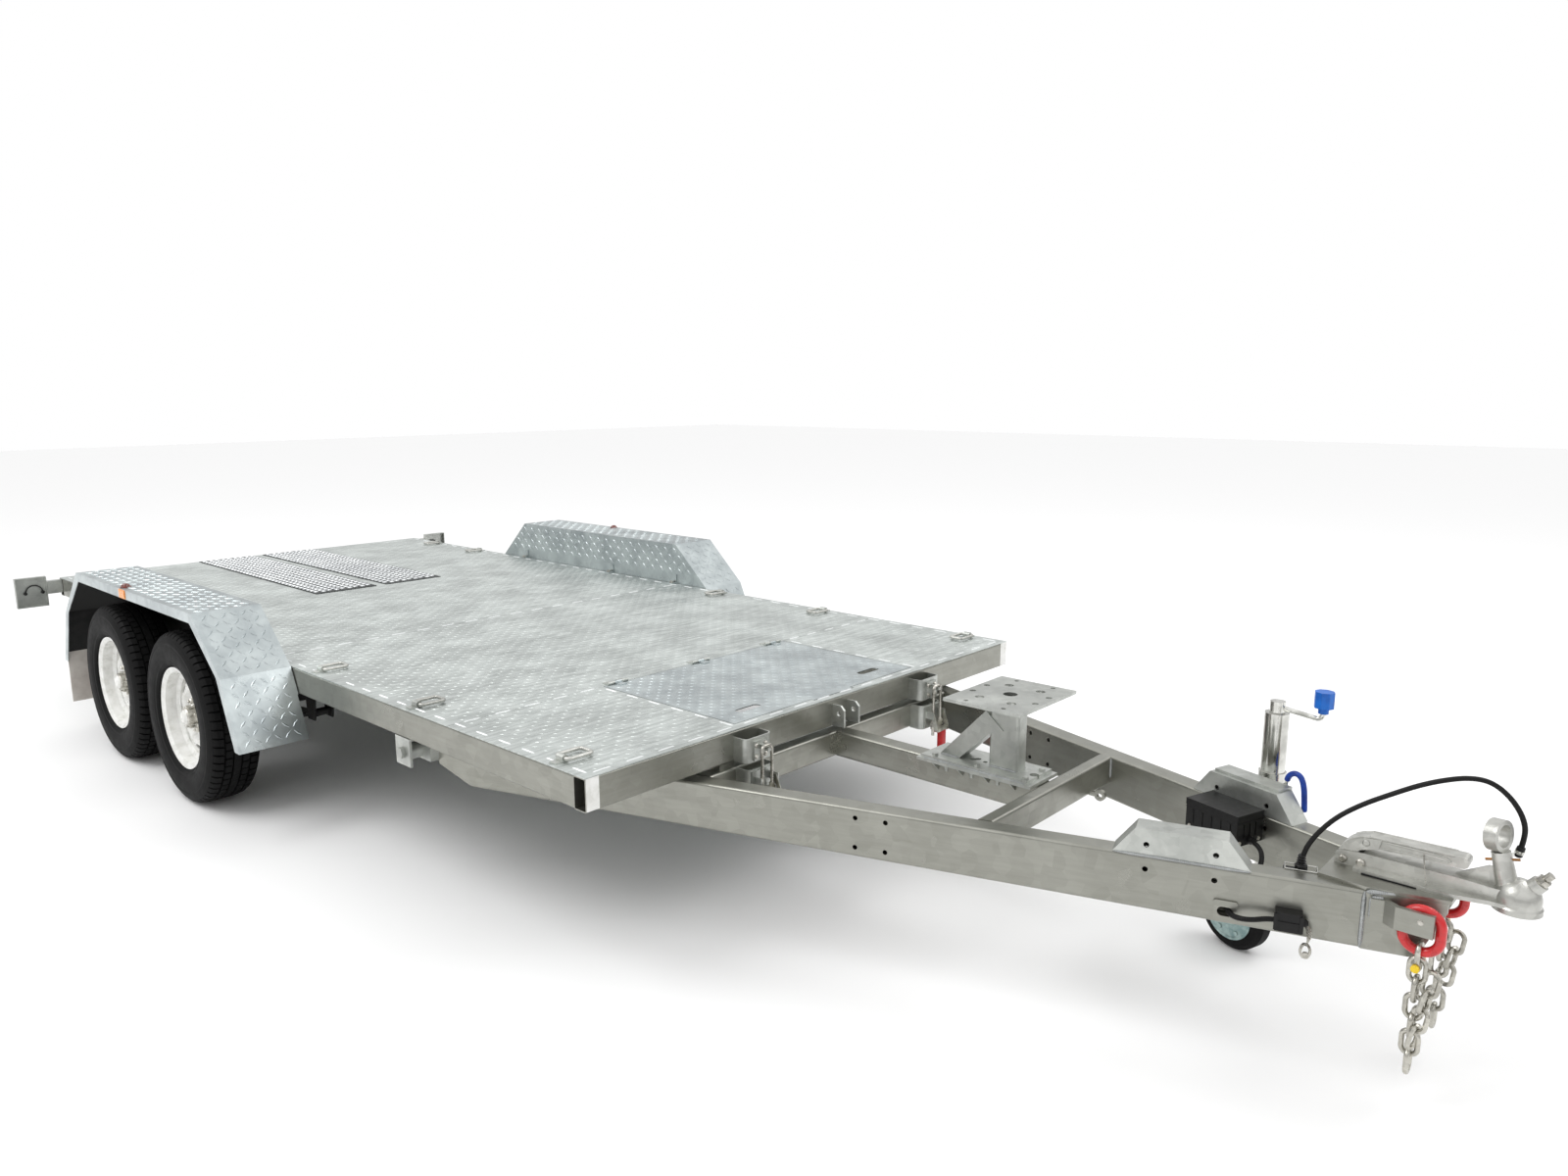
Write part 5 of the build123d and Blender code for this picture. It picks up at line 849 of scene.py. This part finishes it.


# Black sheet just inside each fender: painted shade under the fender's arch
def fender_shade_sheet(side):
    shape = Shape()
    inset = 0.0036
    y_in, y_out = side * (FENDER_IN / 1000 + inset), side * (FENDER_OUT / 1000 - inset)
    line = []
    for x, z in FENDER_LINE:
        reach = 0.0075 if abs(x) > 900 else 0.0045
        drop = 0 if z < 400 else inset
        line.append(Vector(((BOGIE_X + x) / 1000 - math.copysign(reach, x), 0, z / 1000 - drop)))
    for a, b in zip(line, line[1:]):
        corners = [Vector((p.x, y, p.z)) for p, y in ((a, y_in), (b, y_in), (b, y_out), (a, y_out))]
        shape.faces(corners, [(0, 1, 2, 3)])
    wall = [p for p in line if p.z > 0.4] + [Vector((line[4].x, 0, 0.474)), Vector((line[1].x, 0, 0.474))]
    shape.faces([Vector((p.x, y_in, p.z)) for p in wall], [tuple(range(len(wall)))])
    # The seen side is the one towards the wheels
    wheels = Vector((BOGIE_X / 1000, side * RIM_MID, AXLE_Z))
    for face in shape.bm.faces:
        face.normal_update()
        if face.normal.dot(wheels - face.calc_center_median()) < 0:
            face.normal_flip()
    name = "left" if side > 0 else "right"
    # The black sheet is painted shade inside the fender.
    shape.piece(f"fender_shade_sheet_{name}", "deck", BLACK_PAINT, "dark_steel")


fender_shade_sheet(1)
fender_shade_sheet(-1)


# Latches: bolt heads on the catches and nuts on the loops' threaded ends
def latch_fittings():
    shape = Shape()
    for side in (1, -1):
        y = side * 423
        for step_y, z in ((-19, 490), (19, 490), (-19, 522), (19, 522)):
            shape.turned(at(56, y + step_y, z), FORWARD, [(0, 0.0075), (0.002, 0.0072), (0.0045, 0.005)], 14)
        for step_y in (-20, 20):
            shape.turned(at(79, y + step_y, 374), UP, [(0, 0.0085), (0.009, 0.0085)], 6)
            shape.turned(at(79, y + step_y, 400.2), UP, [(0, 0.0085), (0.009, 0.0085)], 6)
    shape.piece("latch_fittings", "deck", DULL_PLATING, "bright_zinc")


latch_fittings()


# Winch base: gussets and bolt ends under the plate, along the centre beam
def winch_gussets():
    shape = Shape()
    for side in (1, -1):
        for x in (395, 480, 565, 650):
            shape.plate([at(x - 2.5, side * y, z) for y, z in ((30.4, 455.6), (66, 455.6), (30.4, 424))],
                        FORWARD * 0.005)
        for x in (437, 522, 607):
            shape.turned(at(x, side * 50, 455.8), -UP, [(0, 0.0105), (0.009, 0.0105)], 6)
            shape.turned(at(x, side * 50, 455.8), -UP, [(0, 0.0058), (0.021, 0.0058)], 12)
    shape.piece("winch_gussets", "drawbar", PLATE_ZINC, "galvanised_steel")


winch_gussets()


# Battery box: lid, ribs and screws, with a gland where the conduit starts
def battery_box():
    shape = Shape()
    out, back = beam_out(1), beam_back(1)
    middle = on_beam(1, 382.5, -111, 463)
    shape.box(middle, back * 0.0790, -out * 0.0505, UP * 0.0085)
    shape.box(on_beam(1, 382.5, -111, 449), back * 0.0786, -out * 0.0503, UP * 0.0012)
    for k in range(5):
        rib = on_beam(1, 326 + 28 * k, -161.6, 428)
        shape.box(rib, back * 0.002, -out * 0.0012, UP * 0.018)
    for k in range(3):
        rib = on_beam(1, 304.2, -88 - 22 * k, 428)
        shape.box(rib, back * 0.0012, -out * 0.002, UP * 0.018)
    start = at(1234.8, 114.5, 402)
    gland = Vector((COS_A, -SIN_A, 0))
    shape.turned(start, gland, [(0, 0.0105), (0.008, 0.0105), (0.009, 0.0085), (0.016, 0.0082)], 20)
    shape.piece("battery_box_lid", "drawbar", BLACK_PLASTIC, "black_plastic")
    screws = Shape()
    for back_step, out_step in ((318, -161), (447, -161)):
        screws.turned(on_beam(1, back_step, out_step, 399), -out, [(0, 0.0055), (0.0018, 0.005)], 14)
    for out_step in (-76, -148):
        screws.turned(on_beam(1, 305, out_step, 399), -back, [(0, 0.0055), (0.0018, 0.005)], 14)
    screws.piece("battery_box_screws", "drawbar", DULL_PLATING, "bright_zinc")


battery_box()


# Breakaway switch: cap, side ears, and the short pin loop with its ring
def switch_details():
    shape = Shape()
    out, back = beam_out(-1), beam_back(-1)
    shape.box(on_beam(-1, 143.5, 15.5, 366), back * 0.0286, out * 0.0163, UP * 0.0016)
    for k in (-1, 1):
        shape.box(on_beam(-1, 143.5 + k * 26, 31, 366), back * 0.004, out * 0.0015, UP * 0.019)
    shape.turned(on_beam(-1, 116, 15, 366), -back, [(0, 0.009), (0.007, 0.009), (0.012, 0.005)], 16)
    shape.piece("switch_details", "drawbar", BLACK_PLASTIC, "black_plastic")
    # Braided wire that ends in a loop with a small shackle
    braid = Shape()
    for strand in range(4):
        points = []
        for k in range(15):
            t = k / 14
            turn = math.tau * (strand / 4 + 1.6 * t)
            swing = 0.0045 * math.sin(math.pi * min(1.0, t + 0.15))
            middle = on_beam(-1, 106 - 6 * math.sin(math.pi * t), 15 + 5 * t, 362 - 46 * t)
            points.append(middle + swing * (math.cos(turn) * back + math.sin(turn) * out))
        braid.path(points, 0.0017, 7)
    foot = on_beam(-1, 106, 20, 304)
    for strand in range(3):
        tilt = 0.5 * (strand - 1)
        side_way = math.cos(tilt) * back + math.sin(tilt) * out
        ring = [foot + 0.0105 * math.cos(t) * side_way + 0.0165 * math.sin(t) * UP
                for t in [math.tau * k / 18 for k in range(19)]]
        braid.path(ring, 0.0024, 7)
    braid.turned(foot + 0.013 * out - 0.002 * UP, out, [(0, 0.0075), (0.006, 0.0075)], 6)
    braid.piece("switch_braid", "drawbar", DULL_PLATING, "bright_zinc")


switch_details()


# Cords: each route's points are those of its solid
lead_route = [
    (1419, -97, 452), (1419, -97, 488), (1436, -84, 532), (1472, -69, 582), (1520, -54, 622),
    (1573, -42, 656), (1622, -37, 687), (1668, -32, 709), (1709, -15, 719), (1744, 3, 713),
    (1777, 19, 684), (1802, 31, 642), (1809, 38, 600), (1799, 44, 556),
]
conduit_route = [
    (1235.4, 114.5, 402), (1255, 106.5, 399), (1271.5, 95.5, 388.5), (1279.5, 80.5, 374.5),
    (1282, 61.5, 363.5), (1281, 40.5, 357), (1277.5, 18.5, 353), (1273, -3, 351.5), (1269, -25, 350.5),
    (1265, -47, 351), (1262, -69, 351.5), (1260.5, -91, 352.5), (1261.5, -113.5, 353.5),
    (1266, -135, 354.5), (1275.5, -155.5, 355), (1286.5, -174.5, 355.2), (1298, -194, 355.1),
    (1309, -213, 355), (1320.5, -223, 355.5), (1334.5, -228.5, 357), (1349.5, -229, 359),
    (1364, -225, 361.5), (1376.5, -216.5, 363.5), (1387.5, -206.5, 365), (1402.5, -199.5, 366),
]


def lay_cord(name, points, radius, finish, body):
    curve = bpy.data.curves.new(name, "CURVE")
    curve.dimensions = "3D"
    curve.bevel_depth = radius
    curve.bevel_resolution = 4
    curve.resolution_u = 10
    curve.use_fill_caps = True
    line = curve.splines.new("NURBS")
    line.points.add(len(points) - 1)
    for knot, point in zip(line.points, points):
        knot.co = (*point, 1.0)
    line.order_u = 3
    line.use_endpoint_u = True
    piece = bpy.data.objects.new(name, curve)
    bpy.context.scene.collection.objects.link(piece)
    curve.materials.append(finish)
    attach(piece, body)
    return piece


def curve_points(points, step):
    """Points a step apart along the smooth curve of a route, each with the curve's direction there."""
    fine = [points[0]]
    for k in range(1, len(points) - 1):
        start = points[0] if k == 1 else (points[k - 1] + points[k]) / 2
        end = points[-1] if k == len(points) - 2 else (points[k] + points[k + 1]) / 2
        for n in range(1, 13):
            t = n / 12
            fine.append((1 - t) ** 2 * start + 2 * t * (1 - t) * points[k] + t * t * end)
    places = []
    travelled, due = 0.0, step / 2
    for a, b in zip(fine, fine[1:]):
        gap = (b - a).length
        while travelled + gap >= due:
            places.append((a + (b - a) * ((due - travelled) / gap), (b - a).normalized()))
            due += step
        travelled += gap
    return places


lead_points = [at(*point) for point in lead_route]
lead = lay_cord("lead", lead_points, 0.0055, CABLE_SHEATH, "drawbar")
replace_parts(lead, "lead_cable")


def lead_gland():
    shape = Shape()
    outline = [(0, 0.0135), (0.012, 0.0135), (0.014, 0.0115)]
    for k in range(4):
        outline += [(0.016 + 0.006 * k, 0.0112 - 0.0009 * k), (0.0175 + 0.006 * k, 0.0086 - 0.0006 * k),
                    (0.019 + 0.006 * k, 0.0086 - 0.0006 * k)]
    shape.turned(lead_points[0], UP, outline, 20)
    shape.piece("lead_gland", "drawbar", BLACK_PLASTIC, "black_plastic")


lead_gland()


def lead_clip():
    """Sleeve on the lead's front end, with the plated clip that holds it to the post."""
    end = lead_points[-1]
    way = (end - lead_points[-2]).normalized()
    sleeve = Shape()
    sleeve.turned(end - 0.020 * way, way,
                  [(0, 0.0062), (0.002, 0.0082), (0.022, 0.0086), (0.024, 0.0070)], 18)
    sleeve.piece("lead_sleeve", "drawbar", BLACK_PLASTIC, "black_plastic")
    clip = Shape()
    clip.turned(end - 0.012 * way, way, [(0, 0.0094), (0.0080, 0.0094)], 20)
    post = at(1780, 17, 551)
    reach = post - (end - 0.008 * way)
    out = reach.normalized()
    flat = out.cross(way).normalized()
    clip.box(end - 0.008 * way + reach / 2, reach / 2, flat * 0.0012, out.cross(flat) * 0.0045)
    clip.piece("lead_clip", "drawbar", BRIGHT_PLATING, "bright_zinc")


lead_clip()


def handle_sleeve():
    """Release handle's bent rod, with the blue sleeve on it."""
    route = [on_beam(1, *point) for point in (
        (304, 15, 512), (303, 15, 536), (296, 16, 554), (280, 17, 562),
        (264, 17, 556), (255, 16, 536), (250, 15, 508), (247, 14, 474))]
    places = curve_points(route, 0.003)
    line = [place for place, _ in places]
    sleeve_start = 8
    sleeve = Shape()
    sleeve.path(line[sleeve_start:], 0.0072, 14)
    sleeve.turned(*places[sleeve_start], [(-0.002, 0.0060), (0.002, 0.0072)], 14)
    sleeve.turned(*places[-1], [(-0.001, 0.0072), (0.004, 0.0066), (0.006, 0.004)], 14)
    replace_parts(sleeve.piece("handle_sleeve", "drawbar", BLUE_SLEEVE, "blue_plastic"), "release_handle")
    core = Shape()
    core.path(line[:sleeve_start + 2], 0.0042, 12)
    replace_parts(core.piece("handle_rod", "drawbar", BRIGHT_PLATING, "bright_zinc"), "release_handle")


handle_sleeve()


def gland_bracket():
    """Bent wire frame round the lead's gland."""
    shape = Shape()
    back, out = beam_back(-1), beam_out(-1)
    middle = lead_points[0] + 0.006 * UP
    corners = [middle + i * 0.033 * back + j * 0.016 * out for i, j in ((-1, -1), (1, -1), (1, 1), (-1, 1))]
    shape.path(corners + corners[:1], 0.0014, 8)
    for corner in corners:
        shape.rod(corner + 0.001 * UP, corner - 0.016 * UP, 0.0014, 8)
    shape.piece("gland_bracket", "drawbar", BRIGHT_PLATING, "bright_zinc")


gland_bracket()


conduit_points = [at(*point) for point in conduit_route]
conduit = lay_cord("conduit_core", conduit_points, 0.0056, CABLE_SHEATH, "drawbar")
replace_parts(conduit, "conduit")
ridges = Shape()
for place, way in curve_points(conduit_points, 0.0046):
    ridges.turned(place - 0.0012 * way, way,
                  [(0, 0.0055), (0.0006, 0.0063), (0.0018, 0.0063), (0.0024, 0.0055)], 14)
ridged = ridges.piece("conduit_ridges", "drawbar", CABLE_SHEATH, "cable_sheath")


# Floor, light and background
def pale_floor():
    bm = bmesh.new()
    bmesh.ops.create_grid(bm, x_segments=1, y_segments=1, size=30)
    mesh = bpy.data.meshes.new("floor")
    bm.to_mesh(mesh)
    bm.free()
    floor = bpy.data.objects.new("floor", mesh)
    bpy.context.scene.collection.objects.link(floor)
    f = Finish("pale_floor")
    f.set(Base_Color=(0.93, 0.93, 0.93, 1), Roughness=0.9)
    mesh.materials.append(f.material)


pale_floor()


def studio_sky():
    """White for the camera, and for the light on the object brighter overhead than at the horizon."""
    world = bpy.data.worlds.new("studio")
    bpy.context.scene.world = world
    world.use_nodes = True
    sky = world.node_tree
    background = sky.nodes["Background"]
    background.inputs["Color"].default_value = (1, 1, 1, 1)
    where = sky.nodes.new("ShaderNodeTexCoord")
    split = sky.nodes.new("ShaderNodeSeparateXYZ")
    sky.links.new(where.outputs["Generated"], split.inputs[0])
    rise = sky.nodes.new("ShaderNodeMapRange")
    rise.interpolation_type = "SMOOTHSTEP"
    rise.inputs["From Min"].default_value = -0.05
    rise.inputs["From Max"].default_value = 0.55
    rise.inputs["To Min"].default_value = 0.34
    rise.inputs["To Max"].default_value = 1.08
    sky.links.new(split.outputs["Z"], rise.inputs["Value"])
    path = sky.nodes.new("ShaderNodeLightPath")
    seen = sky.nodes.new("ShaderNodeMath")
    seen.operation = "MAXIMUM"
    sky.links.new(path.outputs["Is Camera Ray"], seen.inputs[0])
    sky.links.new(rise.outputs[0], seen.inputs[1])
    sky.links.new(seen.outputs[0], background.inputs["Strength"])


studio_sky()


def soft_lamp(name, place, target, size, power):
    lamp = bpy.data.objects.new(name, bpy.data.lights.new(name, "AREA"))
    lamp.data.shape = "DISK"
    lamp.data.size = size
    lamp.data.energy = power
    lamp.location = place
    lamp.rotation_euler = (Vector(target) - Vector(place)).to_track_quat("-Z", "Y").to_euler()
    bpy.context.scene.collection.objects.link(lamp)


soft_lamp("key", (-2.0, -4.5, 7.0), (0.0, 0.0, 0.4), 5.0, 240)
soft_lamp("fill", (5.0, 4.0, 6.0), (1.5, 0.0, 0.4), 4.0, 110)

bpy.context.scene.view_settings.view_transform = "Standard"
